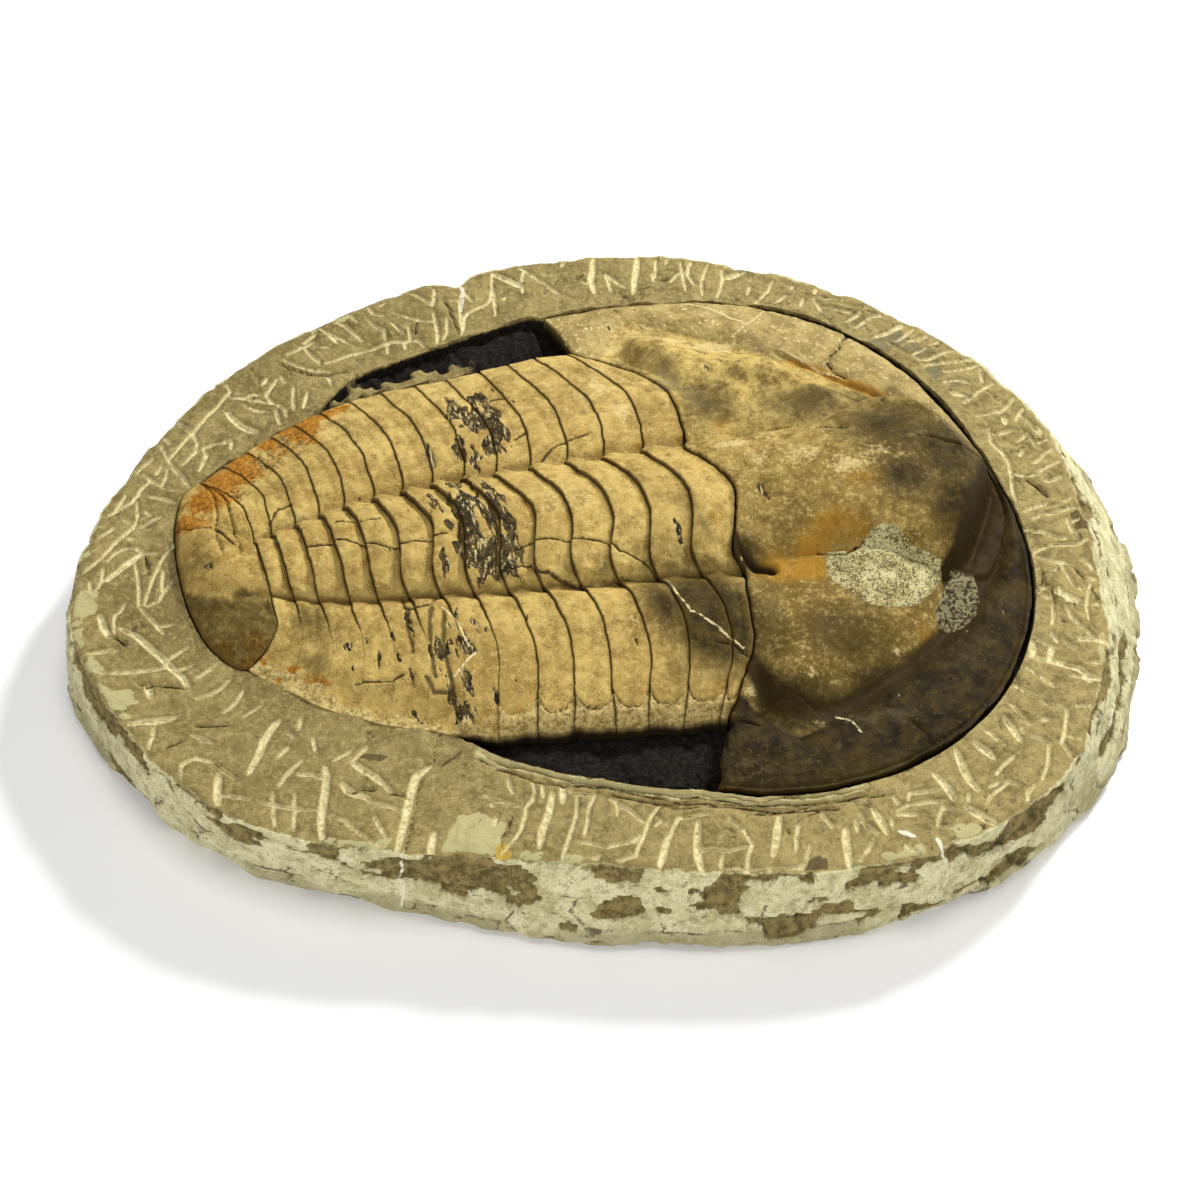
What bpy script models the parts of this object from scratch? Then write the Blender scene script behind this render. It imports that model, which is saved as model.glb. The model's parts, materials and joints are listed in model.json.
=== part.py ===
"""A large fossil trilobite lying in its carved oval slab of mudstone.

Units are metres with +Z up. The slab lies flat on its underside, and the middle of the
slab's outline, on that underside, is the origin. The head points to +X.

Sizes below are written in millimetres and turned into metres where points are placed.
The animal has a frame of its own: a runs along it from tail to head, b across it from
its near side to its far side. The rock has sheared the animal, so to_world leans that
frame over. Heights of the animal are measured up from the top face of the slab.
"""

import math

import bmesh
import bpy
from mathutils import Vector, noise

MM = 0.001

# Slab
TOP_Z = 34.0
FLOOR_Z = 26.0
# Outer radius of the top edge every 15 degrees, from the head end round the far side.
TOP_RADII = (176, 177, 172, 166, 162, 159, 157, 157, 161, 168, 175, 183,
             189, 181, 171, 154, 139, 134, 138, 150, 167, 180, 181, 177)
# How far the foot of the side wall stands outside that edge, at the same places.
FLARE = (20, 16, 10, 6, 4, 4, 4, 4, 4, 4, 4, 4,
         4, 1, -2, -3, 2, 7, 6, 5, 1, 2, 9, 16)
SLAB_STEPS = 150
NOTCH_ANGLE = math.radians(103.0)
NOTCH_WIDTH = 0.035
NOTCH_DEPTH = 5.0
RIM_ROUGHNESS = 1.3
FACE_ROUGHNESS = 0.9
# Bumps per turn, roughly, of the wall's chips and of the top face's swells
CHIP_SCALES = (9.0, 27.0)
SWELL_SCALES = (7.0, 23.0)
# Levels of the wall (0 at its foot, 1 at the top edge) with their heights
WALL_LEVELS = ((0.0, 3.0), (0.3, 12.0), (0.65, 22.0), (0.95, 30.0))
FOOT_INSET = 2.0
RIM_INSET = 1.0
RIM_DROP = 1.2
RIM_SETBACK = 4.0
FACE_SHARES = (0.0, 0.33, 0.66, 1.0)
RECESS_CHAMFER = 1.2
RECESS_DROP = 0.8

# Middle of the slab's outline circle, set so that the slab's box is centred on the origin
SLAB_X = -1.6
SLAB_Y = -5.8

# Animal frame
AXIS_X = SLAB_X - 5.0
AXIS_Y = SLAB_Y + 5.5
SHEAR = 0.14

# Gaps between touching pieces, and the plates' common underside
PLATE_GAP = 0.5
HEAD_GAP = 1.0
WALL_GAP = 0.9
UNDERSIDE_Z = FLOOR_Z + 0.3 - TOP_Z

# Edges between the body plates, from the back of the head to the front of the tail:
# a at the furrow beside the axis, half width of the axis, half width of the body on the
# far and the near side, how far the tip sweeps back, how far the ring arches forward.
EDGES = (
    (45.5, 31.0, 92.0, 86.0, 24.0, 6.0),
    (31.0, 29.5, 94.0, 85.0, 12.0, 5.0),
    (16.5, 28.5, 94.0, 84.5, 9.5, 4.5),
    (2.8, 28.5, 92.0, 83.0, 7.0, 5.0),
    (-10.5, 28.0, 89.5, 81.5, 5.0, 4.0),
    (-23.1, 26.5, 87.5, 80.5, 5.0, 4.0),
    (-35.0, 26.5, 86.0, 80.0, 6.0, 3.5),
    (-47.0, 25.0, 84.5, 79.5, 7.5, 3.0),
    (-58.0, 23.5, 82.0, 77.5, 8.5, 3.0),
    (-69.0, 22.5, 78.0, 74.0, 9.0, 2.0),
    (-79.5, 21.0, 74.0, 70.0, 9.5, 1.0),
    (-89.0, 19.5, 69.0, 65.0, 10.0, 0.5),
    (-98.5, 17.0, 63.0, 58.0, 10.5, 0.5),
    (-107.0, 14.5, 57.5, 49.0, 12.0, 0.0),
    (-114.5, 12.0, 50.0, 39.0, 13.5, 0.0),
)
NEAR_CHEEK_SETBACK = 7.5
SEGMENTS = len(EDGES) - 1
# Course of an edge: how far the ring's arch curls round, where on the flank the sweep
# starts and how fast it grows, and how much of the arch lives on out to where
RING_CURL = 0.8
SWEEP_FROM = 0.40
SWEEP_POWER = 1.8
FLANK_ARCH = 0.4
FLANK_ARCH_END = 0.8

# Heights across the thorax: axis crest, furrow, shoulder bulge and margin
CREST_Z = 21.0
FURROW_Z = 12.0
SHOULDER_Z = 1.4
MARGIN_Z = 3.0
CREST_POWER = 0.8
SHOULDER_END = 0.6
MARGIN_POWER = 2.6
TAIL_SCALE = 0.60
TAPER_FROM = 7
# Laps: how far a back edge stands over the next plate, on the ring and on the flank,
# how much of it fades towards the tip, and how a plate rises from front to back
RING_LAP = 2.8
FLANK_LAP = 1.7
FLANK_LAP_FADE = 0.4
RING_LAP_END = 0.95
LAP_TUCK = 0.55
LAP_RISE = 0.75
# Stations across a plate: up to 1 on the axis, 1 to 2 on the flank
AXIS_STATIONS = (0.0, 0.34, 0.64, 0.86, 1.0)
FLANK_STATIONS = (1.10, 1.32, 1.55, 1.74, 1.88, 2.0)
LAP_ROWS = (0.0, 0.22, 0.72, 1.0)

# Head outline: an ellipse that swells at the far front, cut off at the cheek corners
HEAD_MIDDLE = 42.0
HEAD_REACH = 109.0
HEAD_HALF_WIDTH = 117.0
HEAD_SWELL = 0.085
GENAL_FAR_A = 18.0
GENAL_NEAR_A = 8.0
CORNER_STATIONS = [2.3, 2.6, 2.9]
WIDE_AXIS_STEP = 0.25
WIDE_FLANK_STEP = 0.18
HEAD_ROWS = 16
ROW_EASE = 0.3
# Dome of the head and the flat border round it
DOME_FRONT = 149.0
DOME_REACH = 107.0
DOME_FAR_HALF = 111.0
DOME_NEAR_HALF = 99.0
BORDER_Z = 1.2
BORDER_SWELL = 2.2
DOME_FOOT_Z = 2.2
CORNER_A = 21.0
CORNER_B = 70.0
CORNER_SLOPE = 0.62
CORNER_FADE = 45.0
CHEEK_Z = 14.5
CHEEK_RISE = 0.42
REAR_BORDER = 12.0
REAR_FLAT_FROM = 85.0
REAR_FLAT_OVER = 12.0
# Middle lobe: heights and half width at its back, and what they grow to over which a
GLABELLA_REAR_Z = 21.0
GLABELLA_FRONT_Z = 27.0
GLABELLA_RISE = (45.0, 55.0)
GLABELLA_HALF = 30.0
GLABELLA_FLARE = 12.0
GLABELLA_FLARE_RUN = (85.0, 40.0)
GLABELLA_POWER = 0.7
GLABELLA_ROUND = 0.14
# The lobe's nose is broken off along a line through a point, over a steep hollow
NOSE_POINT = (118.0, -38.0)
NOSE_LINE = math.radians(55.0)
NOSE_EDGE = (2.0, 7.0)
HOLLOW_Z = 4.0
# Eyes and the ridges that run from them to the front
EYE_A = 86.0
EYE_B = 61.0
EYE_Z = 7.0
EYE_LENGTH = 12.0
EYE_WIDTH = 8.0
EYE_RIDGE_Z = 4.5
EYE_RIDGE_WIDTH = 7.5
EYE_RIDGE_SLOPE = 0.78
EYE_RIDGE_START = (84.0, 14.0)
EYE_RIDGE_END = (146.0, 20.0)
EYE_RIDGE_ROUND = 0.1
NEAR_EYE_SHARE = 0.35

# Tail
TAIL_BACK = -128.0
TAIL_DEPTH = 15.0
TAIL_HALF_FAR = 49.5
TAIL_HALF_NEAR = 38.0
TAIL_ROWS = 7
TAIL_LAP = 0.6
TAIL_POWER = 2.2

# Trenches cut beside the animal behind the head, as points (a, b) of their outer rim
FAR_TRENCH = (
    (14.0, 118.5), (-1.0, 115.0), (-21.0, 109.0), (-42.0, 103.0), (-60.0, 97.0), (-72.0, 87.0),
)
NEAR_TRENCH = ((-66.0, -79.0), (-51.0, -91.0), (-27.0, -102.0), (4.0, -112.0), (20.0, -118.0))
TIGHT_FROM = 9
TIGHT_MIDDLE = Vector((-60.0, 0.0))
HEAD_CLEARANCE = 2.6
HEAD_OUTLINE_STEPS = 24
TAIL_OUTLINE_STEPS = 6


def clear_scene():
    for item in list(bpy.data.objects):
        bpy.data.objects.remove(item, do_unlink=True)


def make_material(name, colour, roughness):
    finish = bpy.data.materials.new(name)
    finish.use_nodes = True
    shader = finish.node_tree.nodes["Principled BSDF"]
    shader.inputs["Base Color"].default_value = (*colour, 1.0)
    shader.inputs["Roughness"].default_value = roughness
    shader.inputs["Metallic"].default_value = 0.0
    return finish


def smooth(x):
    x = min(1.0, max(0.0, x))
    return x * x * (3.0 - 2.0 * x)


def to_world(a, b, z):
    """A point of the animal frame, in millimetres over the slab's top, as metres."""
    return Vector((a - SHEAR * b + AXIS_X, b + AXIS_Y, z + TOP_Z)) * MM


def taper(edge):
    """How tall the body is at an edge, 1 at the head and less towards the tail."""
    return 1.0 - (1.0 - TAIL_SCALE) * smooth((edge - TAPER_FROM) / (SEGMENTS - TAPER_FROM))


def edge_point(edge, station):
    """The point (a, b) of a plate edge. The sign of the station is the side."""
    a, axis_half, far_half, near_half, sweep, arch = EDGES[edge]
    side = math.copysign(1.0, station)
    body_half = far_half if side > 0 else near_half
    t = abs(station)
    if t <= 1.0:
        return a + arch * math.cos(RING_CURL * math.pi * t) * (1.0 - t ** 6), side * axis_half * t
    s = t - 1.0
    a -= sweep * max(0.0, (s - SWEEP_FROM) / (1.0 - SWEEP_FROM)) ** SWEEP_POWER
    a += FLANK_ARCH * arch * math.sin(math.pi * min(1.0, s / FLANK_ARCH_END))
    if edge == 0 and side < 0:
        a -= NEAR_CHEEK_SETBACK * math.sin(math.pi * s)
    return a, side * (axis_half + (body_half - axis_half) * s)


def edge_chord(edge, station):
    """The same edge as the straight runs between the stations of a thorax plate, so
    that a neighbour with other columns keeps an even gap to it."""
    across = stations()
    for low, high in zip(across, across[1:]):
        if low <= station <= high:
            f = (station - low) / (high - low)
            (a0, b0), (a1, b1) = edge_point(edge, low), edge_point(edge, high)
            return a0 + (a1 - a0) * f, b0 + (b1 - b0) * f
    return edge_point(edge, station)


def shell_height(edge, station):
    """Height of the plain body over a station, without the laps of the plates."""
    t = abs(station)
    if t <= 1.0:
        z = FURROW_Z + (CREST_Z - FURROW_Z) * (1.0 - t * t) ** CREST_POWER
    else:
        s = t - 1.0
        z = FURROW_Z + SHOULDER_Z * math.sin(math.pi * min(1.0, s / SHOULDER_END))
        z -= (FURROW_Z - MARGIN_Z) * s ** MARGIN_POWER
    return z * taper(edge)


def lap_height(edge, station, v):
    """The front edge of a plate is tucked down, its back edge stands over the next."""
    t = abs(station)
    lap = RING_LAP if t < RING_LAP_END else FLANK_LAP * (1.0 - FLANK_LAP_FADE * smooth(t - 1.0))
    return lap * (smooth(v / LAP_RISE) - LAP_TUCK) * taper(edge)


def stations():
    across = AXIS_STATIONS[1:] + FLANK_STATIONS
    return [-s for s in reversed(across)] + [0.0] + list(across)


def link(name, bm, finish, group):
    mesh = bpy.data.meshes.new(name)
    bmesh.ops.recalc_face_normals(bm, faces=bm.faces)
    bm.to_mesh(mesh)
    bm.free()
    mesh.materials.append(finish)
    item = bpy.data.objects.new(name, mesh)
    group.objects.link(item)
    return item


def plate(name, columns, rows, place, finish, group):
    """A grid laid over the animal by place(column, row), then walled down to its
    flat underside and closed there."""
    bm = bmesh.new()
    bmesh.ops.create_grid(bm, x_segments=columns - 1, y_segments=rows - 1, size=1.0)
    for vert in bm.verts:
        column = round((vert.co.x + 1.0) * 0.5 * (columns - 1))
        row = round((vert.co.y + 1.0) * 0.5 * (rows - 1))
        vert.co = to_world(*place(column, row))
    rim = [edge for edge in bm.edges if edge.is_boundary]
    wall = bmesh.ops.extrude_edge_only(bm, edges=rim)["geom"]
    for vert in (part for part in wall if isinstance(part, bmesh.types.BMVert)):
        vert.co.z = (UNDERSIDE_Z + TOP_Z) * MM
    bmesh.ops.holes_fill(bm, edges=[edge for edge in bm.edges if edge.is_boundary], sides=0)
    return link(name, bm, finish, group)


def thorax_segment(index, finish, group):
    across = stations()

    def place(column, row):
        v = LAP_ROWS[row]
        front = edge_point(index, across[column])
        back = edge_point(index + 1, across[column])
        half = 0.5 * PLATE_GAP * (1.0 - 2.0 * v)
        a = front[0] * (1.0 - v) + back[0] * v - half
        b = front[1] * (1.0 - v) + back[1] * v
        z = shell_height(index + v, across[column]) + lap_height(index + v, across[column], v)
        return a, b, z

    name = f"thorax_segment_{index + 1:02d}"
    return plate(name, len(across), len(LAP_ROWS), place, finish, group)


def genal_turn(side):
    """The angle from the front of the head round its outline to a cheek corner."""
    corner = GENAL_FAR_A if side > 0 else GENAL_NEAR_A
    return math.acos((corner - HEAD_MIDDLE) / HEAD_REACH)


def head_swell(turn):
    """How far the outline stands beyond the plain ellipse, as a factor."""
    if 0.0 < turn < 0.5 * math.pi:
        return 1.0 + HEAD_SWELL * math.sin(2.0 * turn) ** 2
    return 1.0


def head_outline(turn, clearance=0.0):
    swell = head_swell(turn)
    a = HEAD_MIDDLE + (HEAD_REACH * swell + clearance) * math.cos(turn)
    return a, (HEAD_HALF_WIDTH * swell + clearance) * math.sin(turn)


def head_stations():
    """The thorax stations with the wide steps halved, carried on to the cheek corners
    at 3. The head then follows its neighbour's edge corner by corner."""
    half = [0.0]
    for step in (AXIS_STATIONS + FLANK_STATIONS)[1:]:
        if step - half[-1] > (WIDE_AXIS_STEP if step < 1.0 else WIDE_FLANK_STEP):
            half.append(0.5 * (half[-1] + step))
        half.append(step)
    half += CORNER_STATIONS
    return [-s for s in reversed(half[1:])] + half


def head_rear(station):
    """The back edge of the head: the first plate edge, carried on to a cheek corner."""
    if abs(station) <= 2.0:
        return edge_chord(0, station)
    side = math.copysign(1.0, station)
    tip_a, tip_b = edge_point(0, side * 2.0)
    corner_a = GENAL_FAR_A if side > 0 else GENAL_NEAR_A
    corner_b = side * HEAD_HALF_WIDTH * math.sin(genal_turn(side))
    f = abs(station) - 2.0
    return tip_a + (corner_a - tip_a) * f, tip_b + (corner_b - tip_b) * f


def dome_depth(a, b):
    """How far a point lies inside the dome's foot, 0 on it and negative on the border."""
    half = DOME_FAR_HALF if b > 0 else DOME_NEAR_HALF
    front = (DOME_FRONT - a) / DOME_REACH - (b / half) ** 2
    corner = (a - CORNER_A - CORNER_SLOPE * (abs(b) - CORNER_B)) / CORNER_FADE
    return min(front, corner)


def border_height(a, b, inside):
    """The flat border, a little swollen between its rim and the dome's foot."""
    along, across = (a - HEAD_MIDDLE) / HEAD_REACH, b / HEAD_HALF_WIDTH
    rim = max(0.0, 1.0 - math.hypot(along, across) / head_swell(math.atan2(across, along)))
    share = rim / (rim - 0.5 * inside + 1e-6)
    return BORDER_Z + (DOME_FOOT_Z - BORDER_Z) * share + BORDER_SWELL * math.sin(math.pi * share)


def eye_height(a, b, inside):
    """The eye lobe or the ridge in front of it, whichever stands higher."""
    from_eye = ((a - EYE_A) / EYE_LENGTH) ** 2 + ((abs(b) - EYE_B) / EYE_WIDTH) ** 2
    line = EYE_B - EYE_RIDGE_SLOPE * (a - EYE_A)
    run = smooth((a - EYE_RIDGE_START[0]) / EYE_RIDGE_START[1])
    run *= smooth((EYE_RIDGE_END[0] - a) / EYE_RIDGE_END[1]) * min(1.0, inside / EYE_RIDGE_ROUND)
    ridge = EYE_RIDGE_Z * run * math.exp(-((abs(b) - line) / EYE_RIDGE_WIDTH) ** 2)
    share = 1.0 if b > 0 else NEAR_EYE_SHARE
    return share * max(EYE_Z * math.exp(-from_eye), ridge)


def head_form(a, b):
    """Height of the head shield: flat border, domed cheeks, axial lobe, eye ridges."""
    inside = dome_depth(a, b)
    if inside <= 0.0:
        return border_height(a, b, inside)
    z = DOME_FOOT_Z + (CHEEK_Z - DOME_FOOT_Z) * smooth(inside / CHEEK_RISE)
    half = GLABELLA_HALF + GLABELLA_FLARE * smooth((a - GLABELLA_FLARE_RUN[0]) / GLABELLA_FLARE_RUN[1])
    rise = smooth((a - GLABELLA_RISE[0]) / GLABELLA_RISE[1])
    crest = GLABELLA_REAR_Z + (GLABELLA_FRONT_Z - GLABELLA_REAR_Z) * rise
    crest *= math.sqrt(min(1.0, inside / GLABELLA_ROUND))
    lobe = max(0.0, 1.0 - (b / half) ** 2) ** GLABELLA_POWER
    z = max(z, z + (crest - z) * lobe) + eye_height(a, b, inside)
    past_nose = (a - NOSE_POINT[0]) * math.sin(NOSE_LINE) - (b - NOSE_POINT[1]) * math.cos(NOSE_LINE)
    cut = smooth((past_nose + NOSE_EDGE[0]) / NOSE_EDGE[1])
    return z + (min(z, HOLLOW_Z) - z) * cut


def head_shield(finish, group):
    across = head_stations()

    def place(column, row):
        v = row / (HEAD_ROWS - 1)
        v = (1.0 - ROW_EASE) * v + ROW_EASE * smooth(v)
        station = across[column]
        a_rear, b_rear = head_rear(station)
        a_rear += 0.5 * HEAD_GAP
        full_turn = genal_turn(station)
        across_rear = b_rear / (HEAD_HALF_WIDTH * math.sin(full_turn))
        a_front, b_front = head_outline(full_turn * math.asin(across_rear) / (0.5 * math.pi))
        a = a_rear + (a_front - a_rear) * v
        b = b_rear + (b_front - b_rear) * v
        form = head_form(a, b)
        edge_station = max(-2.0, min(2.0, station))
        rear_z = shell_height(0, edge_station) + lap_height(0, edge_station, 1.0)
        beyond = smooth((abs(b_rear) - REAR_FLAT_FROM) / REAR_FLAT_OVER)
        rear_z = rear_z * (1.0 - beyond) + form * beyond
        reach = smooth((a - a_rear) / REAR_BORDER)
        return a, b, rear_z * (1.0 - reach) + form * reach

    return plate("head_shield", len(across), HEAD_ROWS, place, finish, group)


def tail_outline(c):
    turn = 0.5 * math.pi * c
    half = TAIL_HALF_FAR if c > 0 else TAIL_HALF_NEAR
    return TAIL_BACK - TAIL_DEPTH * math.cos(turn), half * math.sin(turn)


def tail_shield(finish, group):
    across = stations()

    def place(column, row):
        v = row / (TAIL_ROWS - 1)
        station = across[column]
        front = edge_point(SEGMENTS, station)
        back = tail_outline(station / 2.0)
        a = front[0] * (1.0 - v) + back[0] * v - 0.5 * PLATE_GAP * (1.0 - v)
        b = front[1] * (1.0 - v) + back[1] * v
        z = shell_height(SEGMENTS, station) + lap_height(SEGMENTS, station, TAIL_LAP * v)
        low = MARGIN_Z * TAIL_SCALE
        return a, b, low + (z - low) * (1.0 - v ** TAIL_POWER)

    return plate("tail_shield", len(across), TAIL_ROWS, place, finish, group)


def ring_value(values, angle):
    """A smooth closed curve through values given at even angles."""
    count = len(values)
    place = (angle / (2.0 * math.pi)) % 1.0 * count
    i = int(place)
    f = place - i
    p0, p1, p2, p3 = (values[(i + k) % count] for k in (-1, 0, 1, 2))
    square = 2.0 * p0 - 5.0 * p1 + 4.0 * p2 - p3
    cube = 3.0 * (p1 - p2) + p3 - p0
    return p1 + 0.5 * f * (p2 - p0 + f * (square + f * cube))


def rough(angle, level, scale):
    """Seamless noise round the slab, between -1 and 1."""
    return noise.noise(Vector((scale * math.cos(angle), scale * math.sin(angle), level)))


def recess_outline():
    """The rim of the hollow that holds the animal, in millimetres from the slab's middle."""
    points = []
    for step in range(-HEAD_OUTLINE_STEPS, HEAD_OUTLINE_STEPS + 1):
        points.append(head_outline(genal_turn(step) * step / HEAD_OUTLINE_STEPS, HEAD_CLEARANCE))
    points += FAR_TRENCH
    far = [edge_point(edge, 2.0) for edge in range(TIGHT_FROM, SEGMENTS + 1)]
    far += [tail_outline(step / TAIL_OUTLINE_STEPS) for step in range(TAIL_OUTLINE_STEPS - 1, -1, -1)]
    near = [tail_outline(-step / TAIL_OUTLINE_STEPS) for step in range(1, TAIL_OUTLINE_STEPS)]
    near += [edge_point(edge, -2.0) for edge in range(SEGMENTS, TIGHT_FROM - 1, -1)]
    for point in far + near:
        out = (Vector(point) - TIGHT_MIDDLE).normalized() * WALL_GAP
        points.append((point[0] + out.x, point[1] + out.y))
    points += NEAR_TRENCH
    return [to_world(a, b, 0.0) / MM - Vector((SLAB_X, SLAB_Y, 0.0)) for a, b in points]


def polar_reader(points):
    """Radius of a closed outline as a function of the angle about the slab's middle."""
    known = sorted((math.atan2(p.y, p.x) % (2.0 * math.pi), math.hypot(p.x, p.y)) for p in points)
    first, last = known[0], known[-1]
    known = [(last[0] - 2.0 * math.pi, last[1])] + known + [(first[0] + 2.0 * math.pi, first[1])]

    def radius(angle):
        angle %= 2.0 * math.pi
        for (a0, r0), (a1, r1) in zip(known, known[1:]):
            if a0 <= angle <= a1:
                f = (angle - a0) / max(a1 - a0, 1e-9)
                return 1.0 / ((1.0 - f) / r0 + f / r1)
        return known[0][1]

    return radius


def outer_radius(angle, level):
    """Slab radius at a level, 0 at the foot of the wall and 1 at the top edge."""
    top = ring_value(TOP_RADII, angle)
    off = (angle - NOTCH_ANGLE + math.pi) % (2.0 * math.pi) - math.pi
    top -= NOTCH_DEPTH * math.exp(-((off / NOTCH_WIDTH) ** 2)) * level
    large, small = CHIP_SCALES
    chips = rough(angle, 3.0 * level, large) + 0.6 * rough(angle, 5.0 + 4.0 * level, small)
    return top + ring_value(FLARE, angle) * (1.0 - level) + RIM_ROUGHNESS * chips


def slab_rings(recess):
    """Each ring of the slab as a function of the angle that gives radius and height."""
    def wall(level, z, inset=0.0):
        return lambda angle: (outer_radius(angle, level) - inset, z)

    def face(share):
        def ring(angle):
            outer = outer_radius(angle, 1.0) - RIM_SETBACK
            inner = recess(angle) + RECESS_CHAMFER
            large, small = SWELL_SCALES
            swell = rough(angle, 9.0 + share, large) + 0.7 * rough(angle, 2.0 + share, small)
            return outer + (inner - outer) * share, TOP_Z + FACE_ROUGHNESS * swell
        return ring

    rings = [wall(0.0, 0.0, FOOT_INSET)]
    rings += [wall(level, z) for level, z in WALL_LEVELS]
    rings.append(wall(1.0, TOP_Z - RIM_DROP, RIM_INSET))
    rings += [face(share) for share in FACE_SHARES]
    rings.append(lambda angle: (recess(angle), TOP_Z - RECESS_DROP))
    rings.append(lambda angle: (recess(angle), FLOOR_Z))
    return rings


def matrix_slab(finish, group):
    """The slab grows ring by ring: up the side wall, over the rim and the worked top
    face, and down the wall of the hollow to its floor."""
    rings = slab_rings(polar_reader(recess_outline()))
    bm = bmesh.new()
    bmesh.ops.create_circle(bm, cap_ends=True, segments=SLAB_STEPS, radius=1.0)
    loop = list(bm.verts)
    edges = list(bm.edges)
    for number, ring in enumerate(rings):
        if number:
            grown = bmesh.ops.extrude_edge_only(bm, edges=edges)["geom"]
            loop = [part for part in grown if isinstance(part, bmesh.types.BMVert)]
            edges = [part for part in grown if isinstance(part, bmesh.types.BMEdge) and part.is_boundary]
        turns = [math.atan2(vert.co.y, vert.co.x) for vert in loop]
        for vert, angle in zip(loop, turns):
            radius, z = ring(angle)
            vert.co = Vector((radius * math.cos(angle), radius * math.sin(angle), z))
    bmesh.ops.holes_fill(bm, edges=[edge for edge in bm.edges if edge.is_boundary], sides=0)
    bmesh.ops.translate(bm, verts=bm.verts, vec=(SLAB_X, SLAB_Y, 0.0))
    bmesh.ops.scale(bm, verts=bm.verts, vec=(MM, MM, MM))
    return link("matrix_slab", bm, finish, group)


def build():
    clear_scene()
    group = bpy.data.collections.new("fossil_trilobite")
    bpy.context.scene.collection.children.link(group)
    matrix_slab(make_material("slab_rock", (0.31, 0.27, 0.17), 0.9), group)
    head_shield(make_material("head_fossil", (0.13, 0.09, 0.04), 0.45), group)
    for index in range(SEGMENTS):
        share = index / (SEGMENTS - 1)
        colour = (0.24 + 0.08 * share, 0.17 + 0.05 * share, 0.07 + 0.02 * share)
        thorax_segment(index, make_material(f"segment_fossil_{index + 1:02d}", colour, 0.65), group)
    tail_shield(make_material("tail_fossil", (0.30, 0.20, 0.09), 0.6), group)


build()
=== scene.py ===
# %% [markdown]
# # A fossil trilobite in its carved slab
# The real thing is a big trilobite, some 300 mm long, that lies in an oval slab of olive
# mudstone. Someone freed it with a chisel, rasped the slab's edge and left a ring of pale
# chisel strokes round the animal. This lesson loads the plain solids of the slab, the head
# shield, the fourteen thorax segments and the tail, and then builds a finely sculpted
# piece in place of each, with stone and fossil finishes made of shader nodes.

# %% Load the plain solids
import json
import math
import bpy
import numpy as np
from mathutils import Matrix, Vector, noise

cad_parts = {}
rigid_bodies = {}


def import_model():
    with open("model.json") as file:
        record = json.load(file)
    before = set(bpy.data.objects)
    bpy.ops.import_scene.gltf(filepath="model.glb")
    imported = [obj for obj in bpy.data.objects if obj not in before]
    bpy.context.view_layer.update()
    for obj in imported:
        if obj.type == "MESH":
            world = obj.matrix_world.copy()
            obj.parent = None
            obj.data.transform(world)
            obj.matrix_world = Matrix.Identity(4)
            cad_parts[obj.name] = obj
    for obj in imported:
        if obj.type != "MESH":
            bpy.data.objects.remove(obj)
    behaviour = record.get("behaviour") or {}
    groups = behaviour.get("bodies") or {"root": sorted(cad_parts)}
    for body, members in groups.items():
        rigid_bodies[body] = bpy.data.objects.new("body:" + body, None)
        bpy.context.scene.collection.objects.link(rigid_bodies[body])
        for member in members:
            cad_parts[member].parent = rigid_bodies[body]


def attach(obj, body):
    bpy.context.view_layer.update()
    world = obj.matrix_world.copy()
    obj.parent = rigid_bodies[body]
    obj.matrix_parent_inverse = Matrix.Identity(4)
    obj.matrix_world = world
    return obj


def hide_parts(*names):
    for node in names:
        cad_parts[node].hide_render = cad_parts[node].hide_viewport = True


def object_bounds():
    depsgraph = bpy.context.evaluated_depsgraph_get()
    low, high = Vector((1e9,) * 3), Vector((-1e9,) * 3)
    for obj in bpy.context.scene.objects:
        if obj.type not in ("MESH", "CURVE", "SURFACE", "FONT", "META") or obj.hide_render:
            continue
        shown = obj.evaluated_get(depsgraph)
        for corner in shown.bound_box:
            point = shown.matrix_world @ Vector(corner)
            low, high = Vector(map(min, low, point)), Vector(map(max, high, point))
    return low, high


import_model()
solid_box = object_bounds()
print("solids span", [round(1000 * (high - low), 1) for low, high in zip(*solid_box)], "mm")

# %% [markdown]
# ## The camera
# The slab is seen from a little to the left of straight on and from well above. A lens
# near 69 mm at 0.8 m gives the same gentle perspective. The camera is aimed with
# to_track_quat, which turns its -Z axis along a direction and keeps +Y up.

# %% Place the camera
AIM_POINT = Vector((-.0066, -.0278, .034))
VIEW_AZIMUTH = math.radians(-9.5)
VIEW_ELEVATION = math.radians(50)
VIEW_DISTANCE = .80
LENS_MM = 68.91
SENSOR_MM = 36

camera_data = bpy.data.cameras.new("slab_camera")
camera_data.lens = LENS_MM
camera_data.sensor_width = SENSOR_MM
camera = bpy.data.objects.new("slab_camera", camera_data)
bpy.context.scene.collection.objects.link(camera)
away = Vector((math.sin(VIEW_AZIMUTH) * math.cos(VIEW_ELEVATION),
               -math.cos(VIEW_AZIMUTH) * math.cos(VIEW_ELEVATION),
               math.sin(VIEW_ELEVATION)))
camera.location = AIM_POINT + VIEW_DISTANCE * away
camera.rotation_mode = "QUATERNION"
camera.rotation_quaternion = (-away).to_track_quat("-Z", "Y")
bpy.context.scene.camera = camera
print("camera stands at", [round(v, 3) for v in camera.location])

# %% [markdown]
# ## Floor and light
# A pale floor and three soft lights stand in for a plain studio. The main light hangs
# behind and to the right, at the head's side, so the relief throws short shadows towards
# the tail and the camera. A weaker one in front keeps the slab's near edge readable, and
# one overhead softens the shadows in the hollow. The view transform is set to Standard,
# so that a colour comes out as bright as it is mixed.

# %% Floor, lights and sky
FLOOR_RADIUS = 6
FLOOR_COLOUR = (.93, .93, .925, 1)
PAPER_ROUGHNESS = .9
SKY_COLOUR = (1, 1, 1, 1)
SKY_STRENGTH = .24
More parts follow.
